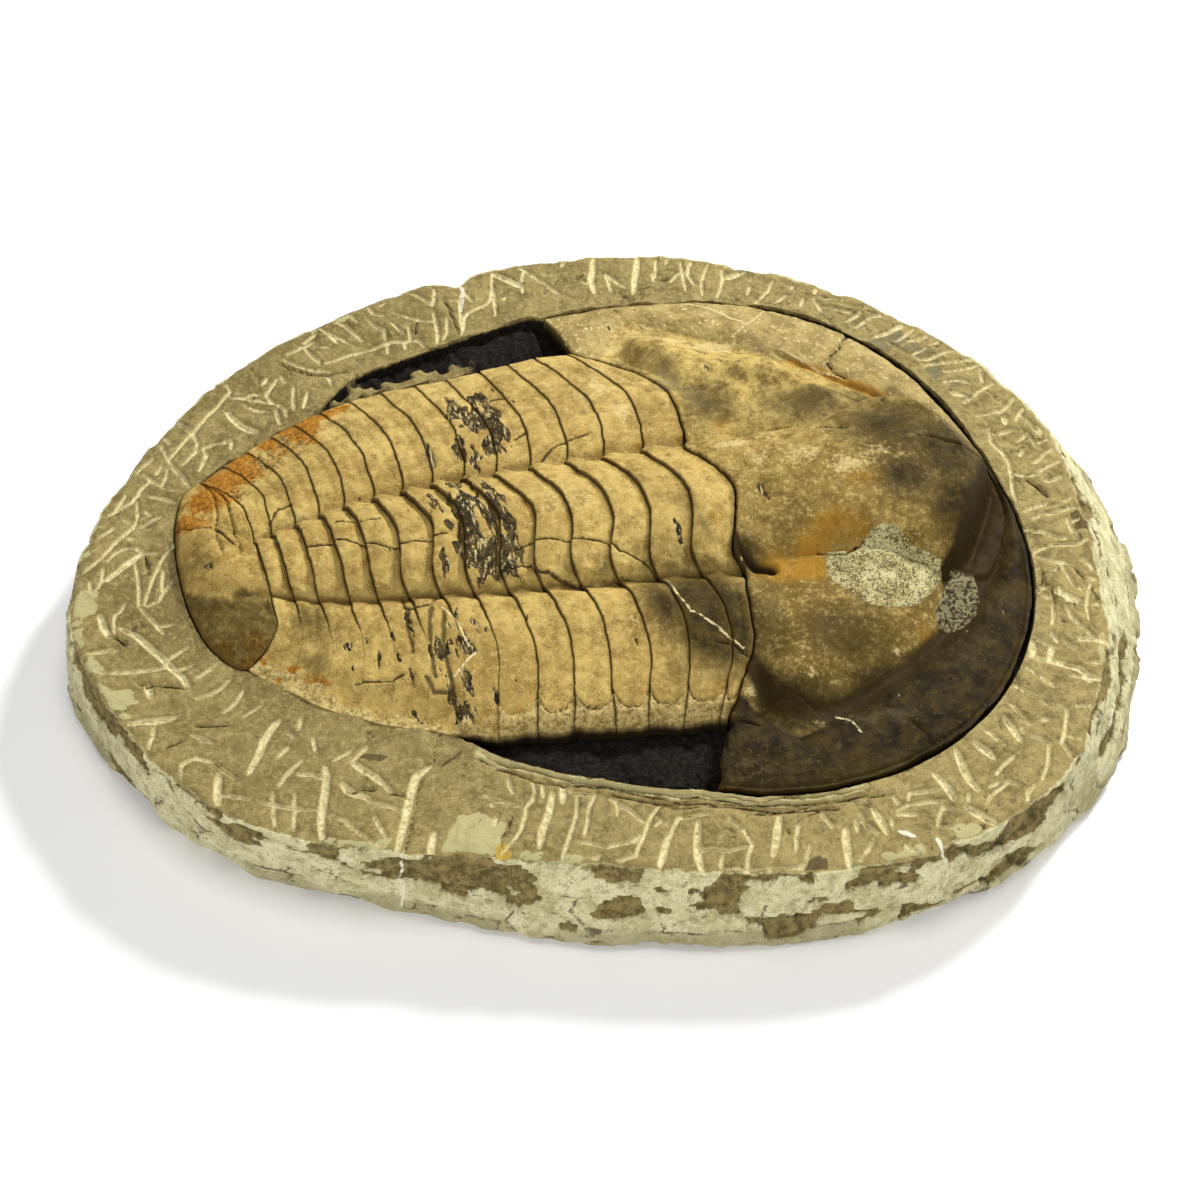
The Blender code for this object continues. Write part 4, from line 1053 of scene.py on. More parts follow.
def trench_lift(x, y):
    """Rubble beside the animal, in millimetres, and where it is pale. A plate's underside
    is so close to the floor that there is none where a plate may lie."""
    flat = to_body(x.ravel() + SLAB_X, y.ravel() + SLAB_Y)
    a, b = flat[:, 0], flat[:, 1]
    tip_a = (EDGES[:, 0] - EDGES[:, 4])[::-1]
    far_half, near_half = (np.interp(a, tip_a, EDGES[::-1, k]) for k in (2, 3))
    beyond = np.abs(b) - np.where(b > 0, far_half, near_half)
    near_head = NEAR_HEAD_A - NEAR_HEAD_SLOPE * np.maximum(0, beyond)
    head_a = np.where(b > 0, GENAL_FAR_A, near_head) - HEAD_MARGIN
    free = smooth((beyond - .8) / 1.8) * smooth((head_a - a) / 2.5) * (a > TRENCH_REAR_A)
    place = np.column_stack([flat, np.zeros(len(flat))])
    narrow = smooth((-a - 8) / 18) * (b > 0)
    bank_edge = BANK_WIDTH + 3 * layered(place, 9, 3, 52)
    bank = BANK_SLOPE * np.maximum(0, beyond) + BANK_Z * narrow * smooth((bank_edge - beyond) / 5)
    rubble = RUBBLE_Z + RUBBLE_RELIEF * layered(place, 7, 4, 51) + bank
    rubble = np.minimum(rubble, RUBBLE_TOP_Z)
    pale = free * smooth((rubble - 4) / 3) * narrow
    return (free * rubble).reshape(x.shape), pale.reshape(x.shape)


print("rubble rises to", RUBBLE_TOP_Z, "mm above the floor at most")

# %% [markdown]
# The wall was rasped, which left broad shallow flakes, and stone broke off in rough places
# along its top edge and its foot. One bed of the mudstone shows as a thin ledge.

# %% Relief of the wall
FLAKE_SIZE = 15
FLAKE_STRETCH = 1.7
FLAKE_STEP = .9
BREAK_DEPTH = 1.7
SPLINTER_DEPTH = 1.8
SPLINTER_SHARE = 2.7
BED_Z = 8
LEDGE = 1.1
BED_GROOVE = .7
RASP_MARK = .10
UPRIGHT = np.array((1, 1, 2))


def wall_relief(place, turn, height, on_wall, grain, fine):
    """Steps of the wall in millimetres, and the masks that its finish reads."""
    arc = turn * ARC_PER_DEGREE
    push = 6 * strip_noise(place, 16, 2, 41)
    across, up = (arc + push) / FLAKE_STRETCH, height * 1.15 + .7 * push
    near, second, owner = strip_cells(across, up, FLAKE_SIZE, 3)
    splinters = strip_cells(across * SPLINTER_SHARE, up * SPLINTER_SHARE, FLAKE_SIZE, 5)[2] - .5
    tendency = strip_noise(place * UPRIGHT, 17, 4, 48) + .25 * (owner - .5)
    at_edge = smooth((height - 17) / 12) + .8 * smooth((9 - height) / 7)
    broken = on_wall * smooth((tendency + .55 * at_edge - .46) / .12)
    above_bed = height - BED_Z - 2 * strip_noise(place, 30, 1, 43)
    bed_shows = smooth((strip_noise(place, 40, 2, 47) + .35) / .3)
    below = smooth((.6 - above_bed) / 1)
    step = FLAKE_STEP * (owner - .5) * (1 - broken) - broken * (BREAK_DEPTH + SPLINTER_DEPTH * splinters)
    step += bed_shows * (LEDGE * below - BED_GROOVE * bell(above_bed, .7))
    rasped = smooth((strip_noise(place, 18, 1, 49) + .1) / .4) * (1 - broken)
    step += .40 * grain + .16 * fine + RASP_MARK * np.sin(arc * 2.1 + 1.5 * fine) * rasped
    seam_shows = smooth((strip_noise(place, 14, 2, 53) + .15) / .3)
    seam = .5 * FLAKE_SIZE * (second - near) + 2.5 * (1 - seam_shows)
    bed_line = np.abs(above_bed) + 2.5 * (1 - bed_shows)
    masks = {"broken": broken, "bed": on_wall * bed_shows * below, "seam": np.minimum(seam, bed_line)}
    return on_wall * step, masks


print("the wall's ledge lies about", BED_Z, "mm above the ground")

# %% [markdown]
# The top face is scalloped by the chisel and cut by its grooves. Along the front edge of
# the hollow the rock is chipped down in thin ledges, and at the near left it clings to the
# animal.

# %% Relief of the top face
SCALLOP_SIZE = 13
CHIP_SIZE = 4.6
CHIP_RELIEF = .40
GROOVE_DEPTH = 1.3
CRACK_DEPTH = 1.2
VEIN_RISE = .25
LIP_DROP = 1.1
LIP_TURNS = (232, 304)
RIM_BREAK = 2.4
DEEPEST, HIGHEST = -3.5, 1.6


def top_relief(place, share, stroke, crack, vein, lip, clung, grain, fine):
    """Height of the top face above its plain form, and the distance to its seams."""
    x, y = place[:, :, 0], place[:, :, 1]
    bowl, bowl_second, bowl_owner = strip_cells(x + 3 * grain, y + 3 * fine, SCALLOP_SIZE, 9)
    relief = 1.5 * (np.minimum(bowl, .8) ** 2 - .25) + .9 * (bowl_owner - .5) + .45 * grain + .20 * fine
    relief *= .75 + .35 * strip_noise(place, 40, 1, 46)
    relief -= GROOVE_DEPTH * smooth(.5 - stroke / 1.4) * (1 + .35 * fine)
    relief -= CRACK_DEPTH * bell(np.maximum(crack, 0), .55)
    relief -= lip * (LIP_DROP + .9 * np.sin(share * 80 + 2.5 * grain) + .5 * fine)
    seam_hides = smooth((.12 - strip_noise(place, 11, 1, 54)) / .25)
    seam = (bowl_second - bowl) * SCALLOP_SIZE + 3 * seam_hides
    relief -= .5 * smooth(1 - seam / 1.4)
    chip = strip_cells(x + 1.5 * grain, y + 1.5 * fine, CHIP_SIZE, 10)[2] - .5
    relief += CHIP_RELIEF * chip * smooth((strip_noise(place, 17, 1, 55) + .2) / .3)
    relief *= 1 - .6 * clung * smooth((share - .75) / .2)
    relief += .5 * clung * smooth((share - .8) / .2)
    relief += VEIN_RISE * smooth(.5 - vein / 1)
    rim_breaks = smooth((strip_noise(place * UPRIGHT, 20, 3, 52) - .15) / .4)
    relief -= RIM_BREAK * smooth((-share) / .1) * rim_breaks
    return np.clip(relief, DEEPEST, HIGHEST), seam


print("the chisel cut", GROOVE_DEPTH, "mm deep")

# %% Build the slab
SLAB_SMOOTH_ANGLE = math.radians(45)
CLUNG_TURNS = (192, 232)
CLOSE_TURNS = (136, 232)
CLUNG_INSET = 1.7
CLOSE_INSET = .35
PALEST_TURN = math.radians(150)
FLOOR_FROM_SHARE = 1.45


def between(turn, limits, rise, fall):
    return smooth((turn - limits[0]) / rise) * smooth((limits[1] - turn) / fall)


def weld_strip(item):
    """Closes the strip into one skin and turns its faces outwards."""
    bpy.ops.object.mode_set(mode="EDIT")
    bpy.ops.mesh.select_all(action="SELECT")
    bpy.ops.mesh.remove_doubles(threshold=1e-6)
    select_open_rim()
    bpy.ops.mesh.fill_holes(sides=0)
    bpy.ops.mesh.select_all(action="SELECT")
    bpy.ops.mesh.normals_make_consistent(inside=False)
    bpy.ops.object.mode_set(mode="OBJECT")
    bpy.ops.object.shade_smooth_by_angle(angle=SLAB_SMOOTH_ANGLE)


def build_slab():
    item, column, row = lay_grid("slab", SLAB_COLUMNS + 1, WALL_ROWS + TOP_ROWS + INNER_ROWS)
    degrees = np.arange(SLAB_COLUMNS) * 360 / SLAB_COLUMNS
    angle = np.radians(degrees)
    outer = outer_radius(angle, 1) - RIM_SETBACK
    clung = between(degrees, CLUNG_TURNS, 8, 5)
    inner = recess_radius(angle) - CLOSE_INSET * between(degrees, CLOSE_TURNS, 5, 5) - CLUNG_INSET * clung
    plain = recess_radius(angle, swollen=False) + 1.2
    radius, height, share = slab_profile(angle, outer, inner)
    x, y = radius * np.cos(angle), radius * np.sin(angle)
    place = np.stack([x, y, height], axis=2)
    on_wall = smooth((-share - .08) / .08)
    on_top = smooth((share + .12) / .08) * (share <= 1)
    turn = np.broadcast_to(degrees, radius.shape)
    grain = strip_noise(place, 8, 4, 44)
    fine = strip_noise(place, 2.4, 2, 45)

    stroke = np.minimum(stroke_distance(x, y, degrees, outer, plain, STROKES, STROKE_HALF),
                        stroke_distance(x, y, degrees, outer, plain, BROAD_STROKES, BROAD_HALF))
    crack = stroke_distance(x, y, degrees, outer, plain, SLAB_CRACKS, CRACK_HALF)
    vein = stroke_distance(x, y, degrees, outer, plain, VEIN_LINES, VEIN_HALF)
    lip = smooth((share - .8) / .2) * between(turn, LIP_TURNS, 6, 6) * (share <= 1)
    step, masks = wall_relief(place, turn, height, on_wall, grain, fine)
    relief, top_seam = top_relief(place, share, stroke, crack, vein, lip, clung, grain, fine)
    lift, bank = trench_lift(x, y)
    height = height + on_top * relief
    height = np.where(share > FLOOR_FROM_SHARE, height + lift, height)
    height = np.where(share < -.9, height * smooth(height / 2), height)
    x, y = (radius + step) * np.cos(angle), (radius + step) * np.sin(angle)
    spot = column % SLAB_COLUMNS
    places = [x[row, spot] + SLAB_X, y[row, spot] + SLAB_Y, np.maximum(0, height[row, spot])]
    write_places(item, stay_in_box(np.stack(places, axis=1) * MM))

    for vein_turn, half, low, high in WALL_VEINS:
        sideways = np.abs(turn - vein_turn + .35 * grain) * ARC_PER_DEGREE - half * (.7 + .5 * fine)
        sideways += 3 * (1 - smooth((place[:, :, 2] - low) / 2))
        vein = np.where((share < .02) & (height <= high), np.minimum(vein, sideways), vein)
    shades = np.cos(np.broadcast_to(angle, radius.shape) - PALEST_TURN)
    masks.update({
        "stroke": stroke, "crack": crack, "vein": vein, "wall": on_wall, "lip": lip,
        "seam": np.where(on_wall > .5, masks["seam"], top_seam),
        # Where the hollow's floor and sides are painted nearly black as shade; the pale bank is left out.
        "hollow_shade": smooth((share - 1) / .05) * (1 - .95 * bank * (share > 1.1)),
        "tone": .5 - .5 * shades,
    })
    on_face = (share >= 0) & (share <= 1)
    box_share = np.where(on_face, (outer - radius) / (outer - plain), share)
    box_share = box_share + (.050 * fine + .045 * grain) * (box_share > -.12)
    box_turn = turn + .55 * grain + .30 * fine
    boxes = {"rasp": (RASPED, 2), "ochre": (OCHRE, 1.5), "blue": (BLUE, 2.5), "stain": (STAIN, 2)}
    for name, (arcs, soft) in boxes.items():
        masks[name] = polar_boxes(box_turn, box_share, arcs, soft) * on_top
    for name, values in masks.items():
        paint(item, name, values[row, spot])
    weld_strip(item)
    print("slab has", len(item.data.vertices), "vertices")
    return item


slab = build_slab()

# %% [markdown]
# ## Marks on a plate
# `marks` looks up every listed mark at the points of a plate. The points are first pushed
# about by noise, so that no stain keeps the shape of the ellipse it came from. `carve`
# turns the marks into relief: flaked shell lies a little lower, cracks are small grooves,
# the repairs stand slightly proud, porous places are pitted.

# %% Look up marks and carve them
FLAKE_DEPTH = .45
ANIMAL_CRACK_DEPTH = .75
ANIMAL_VEIN_RISE = .18
SCORE_DEPTH = .6
PORE_SIZE = 2.4
PORE_DEPTH = .8
REPAIR_RISE = .35


def marks(flat, z):
    """Every listed mark at the points of a plate, by name: masks, or distances in mm."""
    place = np.column_stack([flat, z])
    push = np.stack([layered(place, 5, 3, 11), layered(place, 5, 3, 12)], axis=1)
    moved = flat + 1.3 * push
    stretched = np.column_stack([1.6 * flat[:, 0] + 1.2 * push[:, 0], .45 * flat[:, 1], z])
    streaks = layered(stretched, 3.6, 3, 14)
    found = {
        "dark": smooth((blots(moved, DARK_SPOTS) + .42 * streaks - .42) / .16),
        "rust": blots(moved, RUST_SPOTS),
        "gold": blots(moved, GOLD_SPOTS),
        "umber": blots(moved, UMBER_SPOTS),
        "pale": blots(moved, PALE_SPOTS),
        "blue": blots(moved, BLUE_SPOTS),
        "pore": blots(moved, PORE_SPOTS),
        "crack": distance_to_lines(flat + .35 * push, CRACKS),
        "vein": distance_to_lines(flat + .35 * push, VEINS),
        "score": distance_to_lines(flat + .5 * push, SCORED_LINES),
    }
    repairs = [inside_outline(flat + .5 * push, outline) for outline in REPAIR_OUTLINES]
    found["repair"] = repairs[0]
    found["repair_dark"] = repairs[1]
    return found


def carve(flat, z, found):
    """Relief of the shell's surface and of its marks, in millimetres."""
    place = np.column_stack([flat, z])
    grain = layered(place, 6, 4, 21)
    fine = layered(place, 1.6, 2, 22)
    near, _, owner = cracked_cells(flat + .5 * grain[:, None], PORE_SIZE, 23)
    relief = .26 * grain + .11 * fine + .35 * lumps(place, 15, 25)
    relief -= found["dark"] * (FLAKE_DEPTH + .25 * fine)
    relief -= ANIMAL_CRACK_DEPTH * bell(found["crack"], .55)
    relief += ANIMAL_VEIN_RISE * bell(found["vein"], .6)
    relief -= SCORE_DEPTH * bell(found["score"], .8)
    pitted = smooth((found["pore"] - .35) / .4) * smooth((.30 - near) / .16) * (owner > .35)
    relief -= PORE_DEPTH * pitted
    patch = smooth(.5 - np.minimum(found["repair"], found["repair_dark"]) / 1)
    return relief + patch * (REPAIR_RISE + .12 * lumps(place, 1.3, 24))


print("marks are looked up within the outlines of", len(REPAIR_OUTLINES), "repairs and", len(VEINS), "veins")


# %% [markdown]
# ## The thorax
# Fourteen plates, one for each segment. A plate arches over the axis, dips into the furrow
# beside it and runs out to a tip that sweeps back. Its front is tucked down and its back
# stands over the next plate, so that every joint shows as a thin dark line. They are all
# made by one function from the table of edges; no two come out alike.

# %% Relief of a segment
FULL_LAP = 3
LAP_TUCK = .55
LAP_RISE = .75
RING_LAP_END = .95
FLANK_LAP_FADE = .4
NEAR_END_LAP = 1.3
REAR_RING_LAP = .9
FURROW_DEPTH = 1.3
NEAR_FURROW_MORE = .7
KNOB_RISE = 1.5
SOCKET_DEPTH = 1.1
FLANK_FURROW_DEPTH = .55
RING_FURROW_DEPTH = .5


def lap_height(edge, station, v):
    """The front of a plate is tucked down and its back stands over the next one, most of
    all where a ring ends over the near furrow, and on the rings close to the tail."""
    t = np.abs(station)
    lap = np.where(t < RING_LAP_END, RING_LAP, FLANK_LAP * (1 - FLANK_LAP_FADE * smooth(t - 1)))
    lap = lap + NEAR_END_LAP * bell(station + .78, .26)
    lap = lap + REAR_RING_LAP * smooth((edge - 5) / 3) * smooth((.98 - t) / .1)
    return np.minimum(lap, FULL_LAP) * (smooth(v / LAP_RISE) - LAP_TUCK) * taper(edge)


def furrow_relief(station, v, edge):
    """The furrow beside the axis with its knob and socket, the soft furrow along each
    flank, and the one along the front of the ring."""
    t = np.abs(station)
    groove = -(FURROW_DEPTH + NEAR_FURROW_MORE * (station < 0)) * bell(t - 1.02, .055)
    knob = KNOB_RISE * hump(t - .93, .06, v - .72, .2)
    socket = -SOCKET_DEPTH * hump(t - 1, .05, v, .22)
    line = .28 + .42 * np.clip(t - 1, 0, 1)
    flank = -FLANK_FURROW_DEPTH * bell(v - line, .13) * smooth((t - 1.06) / .1) * smooth((1.86 - t) / .25)
    ring = -RING_FURROW_DEPTH * bell(v - .16, .07) * smooth((.9 - t) / .2)
    return taper(edge) * (groove + knob + socket + flank + ring)


def station_of(b, axis_half, far_half, near_half):
    half = np.where(b > 0, far_half, near_half)
    beyond = (np.abs(b) - axis_half) / (half - axis_half)
    return np.sign(b) * np.where(np.abs(b) < axis_half, np.abs(b) / axis_half, 1 + beyond)


print("a plate laps the next one by", FULL_LAP, "mm at most")

# %% [markdown]
# Rock clings to the near tips. In front a plate ends in a rounded lobe above it, and
# towards the tail the flank runs out into the rock without a step, so there the joints
# between the plates fade away.

# %% Build the thorax
SEGMENT_COLUMNS = 370
SEGMENT_ROWS = 28
ROW_EASE = .45
PLATE_GAP = .14
MERGE_FROM = 5.5
MERGE_STATION = -1.15
TIP_SQUEEZE = .28
EDGE_ROUNDING = .7
EDGE_DROP = .4
CLINGING_DROP = 3
FREE_TIP_DROP = 1.8
LOWEST_EDGE_Z = UNDERSIDE_Z - TOP_Z + 1.5


def build_segment(index):
    item, column, row = lay_grid(f"segment_{index + 1:02d}", SEGMENT_COLUMNS, SEGMENT_ROWS)
    axis_half, far_half, near_half = .5 * (EDGES[index][1:4] + EDGES[index + 1][1:4])
    across = column / (SEGMENT_COLUMNS - 1)
    station = station_of(-near_half + (near_half + far_half) * across, axis_half, far_half, near_half)
    station = np.clip(station, -2, 2)
    v = row / (SEGMENT_ROWS - 1)
    v = (1 - ROW_EASE) * v + ROW_EASE * smooth(v)
    merge = smooth((index - MERGE_FROM) / 2) * smooth((MERGE_STATION - station) / .3)
    clings = (station < 0) * (1 if index < TIGHT_FROM - 1 else 0)
    tip = smooth((station - 1.93) / .07)
    v = .5 + (v - .5) * (1 - TIP_SQUEEZE * tip ** 2)
    front_a, front_b = edge_points(index, station)
    back_a, back_b = edge_points(index + 1, station)
    a = front_a * (1 - v) + back_a * v - .5 * PLATE_GAP * (1 - merge) * (1 - 2 * v)
    b = front_b * (1 - v) + back_b * v
    z = shell_height(index + v, station) + lap_height(index + v, station, v) * (1 - .7 * merge)
    z = z + furrow_relief(station, v, index + v)
    at_tip = smooth((-1.8 - station) / .2) * clings
    b = b + 1.3 * at_tip * layered(np.column_stack([a, 0 * a, 0 * a]), 9, 4, 62)
    flat = np.stack([a, b], axis=1)
    found = marks(flat, z)
    z = z + carve(flat, z, found)
    from_front = v * np.abs(front_a - back_a)
    from_back = (1 - v) * np.abs(front_a - back_a)
    edge = np.minimum(from_front, from_back)
    flank_half = np.where(station > 0, far_half - axis_half, near_half - axis_half)
    from_tip = (2 - np.abs(station)) * flank_half
    round_off = np.maximum(0, 1 - np.minimum(edge, from_tip) / EDGE_ROUNDING) ** 2
    z = z - EDGE_DROP * round_off * (1 - .8 * merge)

    crumble = layered(np.column_stack([flat, np.zeros(len(flat))]), 5, 4, 61)
    lobe = 4.2 + 5.5 * np.abs(2 * v - 1) ** 3 - from_tip + .5 * crumble
    rock = clings * (1 - merge) * smooth((lobe + .4) / .8)
    z = z - rock * (.5 + .7 * crumble)
    z = z - clings * CLINGING_DROP * np.maximum(0, 1 - from_tip / 3) ** 1.5
    free = 1 - np.maximum(clings, merge)
    z = z - free * FREE_TIP_DROP * np.maximum(0, 1 - from_tip / 2.4) ** 1.5
    z = z - clings * (1 - merge) * .6 * bell(lobe, .5)
    sink = merge * smooth(1 - from_tip / 14) * (1 if index >= TIGHT_FROM - 1 else .4)
    z = z * (1 - sink) + (.7 + .6 * crumble) * sink
    rock = np.maximum(rock, merge * smooth((5 + 3 * crumble - from_tip) / 2.5))
    outline = np.abs(lobe) + .15 + 2 * merge
    found["crack"] = np.where(clings > 0, np.minimum(found["crack"], outline), found["crack"])
    write_places(item, stay_in_box(to_world(a, b, np.maximum(z, LOWEST_EDGE_Z))))

    # Painted shade, kept as brown: in the furrow beside the axis, at the front of each ring under the lap,
    # and along each joint.
    furrow_shade = bell(np.abs(station) - 1.03, .06) * (.55 + .35 * (station < 0))
    ring_shade = .8 * bell(from_front, 1.8) * smooth((1.05 - np.abs(station)) / .1)
    joint_shade = .7 * bell(from_front, 1.5) * (1 - merge)
    found["rock"] = rock
    found["brown"] = np.max([furrow_shade, ring_shade, joint_shade], axis=0)
    # Distance to the plate's edges, from which a finish paints a dark line of shade along the joints.
    found["edge"] = np.minimum(from_front + .15, from_back) + .35 * merge
    found["far_side"] = smooth((b - 20) / 50)
    paint_all(item, found)
    close_below(item, UNDERSIDE_Z)
    return item


segments = [build_segment(index) for index in range(SEGMENTS)]
print("a segment has", len(segments[0].data.vertices), "vertices")

# %% [markdown]
# ## The head shield
# The head is a half-moon shield: a flat border all round, a broad dome inside it, and on
# the dome a raised middle lobe with an eye ridge on each side. Its grid is laid in fans,
# from the back edge to the outer rim, so its rows follow the border.

# %% Shape of the head
DOME_FRONT = 149
DOME_REACH = 107
DOME_FAR_HALF = 111
DOME_NEAR_HALF = 99
BORDER_Z = 1.2
BORDER_SWELL = 2.2
DOME_FOOT_Z = 2.2
CORNER_A = 21
CORNER_B = 70
CORNER_SLOPE = .62
CORNER_FADE = 45
CORNER_BLEND = .16
CHEEK_Z = 14.5
CHEEK_RISE = .42
GLABELLA_REAR_Z = 21
GLABELLA_FRONT_Z = 27
GLABELLA_HALF = 30
GLABELLA_FLARE = 12
GLABELLA_POWER = .7
NOSE_A = 118
NOSE_B = -38
NOSE_LINE = math.radians(55)
HOLLOW_Z = 4
EYE_A = 86
EYE_B = 61
EYE_Z = 7
EYE_RIDGE_Z = 4.5
EYE_RIDGE_SLOPE = .78
NEAR_EYE_SHARE = .35


def soft_min(first, second, width):
    """The smaller of two values, without a crease where they change over."""
    share = np.clip(.5 + .5 * (second - first) / width, 0, 1)
    return second * (1 - share) + first * share - width * share * (1 - share)


def from_rim(a, b):
    along, across = (a - HEAD_MIDDLE) / HEAD_REACH, b / HEAD_HALF_WIDTH
    return np.maximum(0, 1 - np.hypot(along, across) / head_swell(np.arctan2(across, along)))


def past_nose(a, b):
    """How far a point lies in front of the oblique line where the nose falls away."""
    return (a - NOSE_A) * math.sin(NOSE_LINE) - (b - NOSE_B) * math.cos(NOSE_LINE)


def glabella_half(a):
    return GLABELLA_HALF + GLABELLA_FLARE * smooth((a - 85) / 40)


def head_form(a, b):
    """Height of the plain head, and how far inside the dome's foot a point lies."""
    half = np.where(b > 0, DOME_FAR_HALF, DOME_NEAR_HALF)
    inside = (DOME_FRONT - a) / DOME_REACH - (b / half) ** 2
    corner = (a - CORNER_A - CORNER_SLOPE * (np.abs(b) - CORNER_B)) / CORNER_FADE
    inside = soft_min(inside, corner, CORNER_BLEND)
    rim = from_rim(a, b)
    across = np.clip(rim / (rim - .5 * np.minimum(inside, 0) + 1e-6), 0, 1)
    flat = BORDER_Z + (DOME_FOOT_Z - BORDER_Z) * across + BORDER_SWELL * np.sin(np.pi * across)
    within = np.maximum(inside, 0)
    z = DOME_FOOT_Z + (CHEEK_Z - DOME_FOOT_Z) * smooth(within / CHEEK_RISE)
    crest = GLABELLA_REAR_Z + (GLABELLA_FRONT_Z - GLABELLA_REAR_Z) * smooth((a - 45) / 55)
    crest = crest * np.sqrt(np.minimum(1, within / .14))
    lobe = np.maximum(0, 1 - (b / glabella_half(a)) ** 2) ** GLABELLA_POWER
    z = np.maximum(z, z + (crest - z) * lobe)
    share = np.where(b > 0, 1, NEAR_EYE_SHARE)
    eye = EYE_Z * hump(a - EYE_A, 12, np.abs(b) - EYE_B, 8)
    line = EYE_B - EYE_RIDGE_SLOPE * (a - EYE_A)
    run = smooth((a - 84) / 14) * smooth((146 - a) / 20)
    ridge = EYE_RIDGE_Z * run * bell(np.abs(b) - line, 7.5) * np.minimum(1, within / .1)
    z = z + share * np.maximum(eye, ridge)
    z = z + (np.minimum(z, HOLLOW_Z) - z) * smooth((past_nose(a, b) + 2) / 7)
    return np.where(inside <= 0, flat, z), inside


print("the front lobe rises", GLABELLA_FRONT_Z, "mm above the slab's face")

# %% [markdown]
# On its plain form this head has furrows that follow no rule: behind the middle lobe,
# inside the border, along the nose. They are grooves along lines of a few points, each
# with its own depth and width, and the same lines tell the finish where to darken.

# %% Furrows of the head
LOBE_FURROW = ((46, -6), (44.5, -12), (44, -17), (45, -22), (46, -27), (49, -31.5), (54, -34.5))
FAR_REAR_FURROW = ((44, 75), (50, 67), (56, 59), (61, 50), (63, 40), (63, 31))
NEAR_REAR_FURROW = ((60, -36), (56, -44), (52, -54), (46, -64), (40, -74), (36, -84))
NEAR_BORDER_FURROW = (
    (34, -67), (37, -82), (44, -89), (55, -90), (70, -85), (87, -77), (100, -68), (116, -56),
    (131, -41), (139, -29),
)
NOSE_HOLLOW = ((114, -42), (120, -38), (127, -31), (134, -22), (139, -15), (144, -5))
BORDER_BREAK = ((97.7, 80), (108, 69), (116, 60), (127, 50), (137, 40), (146, 22), (149, 5))
# Depth and half width of each furrow, in millimetres.
FURROWS = (
    (LOBE_FURROW, 3.6, 2.4), (FAR_REAR_FURROW, 1.6, 5), (NEAR_REAR_FURROW, 1.3, 5),
    (BORDER_BREAK, 1.1, 1.3), (NEAR_BORDER_FURROW, 1.3, 4), (NOSE_HOLLOW, 2, 3),
)
# Lumps round the far eye: a, b, reach along a, reach along b, height.
EYE_LUMPS = ((86, 65, 9, 3.5, 1.3), (88, 52.5, 13, 3.2, -1.4), (75, 60, 3.5, 3.5, .9))
AXIS_FURROW_DEPTH = 1
FLUTE_HEIGHT = .16
FLUTE_WIDTH = 2.3
FLUTES_FROM_B = 30


def head_relief(flat, inside):
    """Furrows, lobes and flutes of this head, on top of its plain form."""
    a, b = flat[:, 0], flat[:, 1]
    axis_line = np.abs(np.abs(b) - glabella_half(a)) * smooth((118 - a) / 12)
    axis_line = axis_line + 20 * smooth((a - 112) / 12)
    relief = -AXIS_FURROW_DEPTH * bell(axis_line, 4)
    for line, depth, width in FURROWS:
        relief -= depth * bell(distance_to_line(flat, line)[0], width)
    for lump_a, lump_b, reach_a, reach_b, rise in EYE_LUMPS:
        relief += rise * hump(a - lump_a, reach_a, b - lump_b, reach_b)
    warp = 2 * lumps(np.column_stack([flat, 0 * a]), 7, 71)
    flutes = np.sin((np.abs(b) - .25 * a) / FLUTE_WIDTH + warp)
    flutes = flutes * smooth((a - 96) / 10) * smooth((134 - a) / 12)
    return relief + FLUTE_HEIGHT * flutes * smooth((inside - .05) / .1) * (b > FLUTES_FROM_B)


def head_masks(flat, inside, from_rear):
    """Values for the head's finish: the rear joint, the border, painted shade in the furrows and in front of
    the nose, and the orange band.
    """
    a, b = flat[:, 0], flat[:, 1]
    shaded = ((LOBE_FURROW, 1.1, 2.8), (NEAR_BORDER_FURROW, 1.1, 5), (NOSE_HOLLOW, 1.5, 4))
    shades = [share * bell(distance_to_line(flat, line)[0], width) for line, share, width in shaded]
    # Painted shade where the nose falls away in front.
    front = bell(past_nose(a, b) - 5.5, 8.5) * smooth((a - 104) / 10) * smooth((30 - b) / 14)
    band = bell(inside + .01, .035) * smooth((b - 20) / 15) * smooth((a - 92) / 12)
    return {"edge": from_rear + .15, "inside": inside, "far_side": smooth((b + 10) / 60),
            "shade": np.max([*shades, 1.5 * front], axis=0), "band": band}


print(len(FURROWS), "furrows and", len(EYE_LUMPS), "lumps on the head")

# %% Build the head
HEAD_COLUMNS = 470
HEAD_ROWS = 196
HEAD_ROW_EASE = .3
COLUMN_CROWDING = 1.12
HEAD_GAP = 1
HEAD_SPREAD = 1.1
FAR_FRONT_TRIM = 2.8
REAR_BORDER = 12
REAR_FLAT_FROM = 85
REAR_FLAT_OVER = 12
TORN_DEPTH = 2.2
NICK_DEPTH = .45
CHEEK_FOLD = 2.2
HEAD_CARVING = 1.4
HEAD_EDGE_DROP = .8
HEAD_EDGE_ROUNDING = 1.1


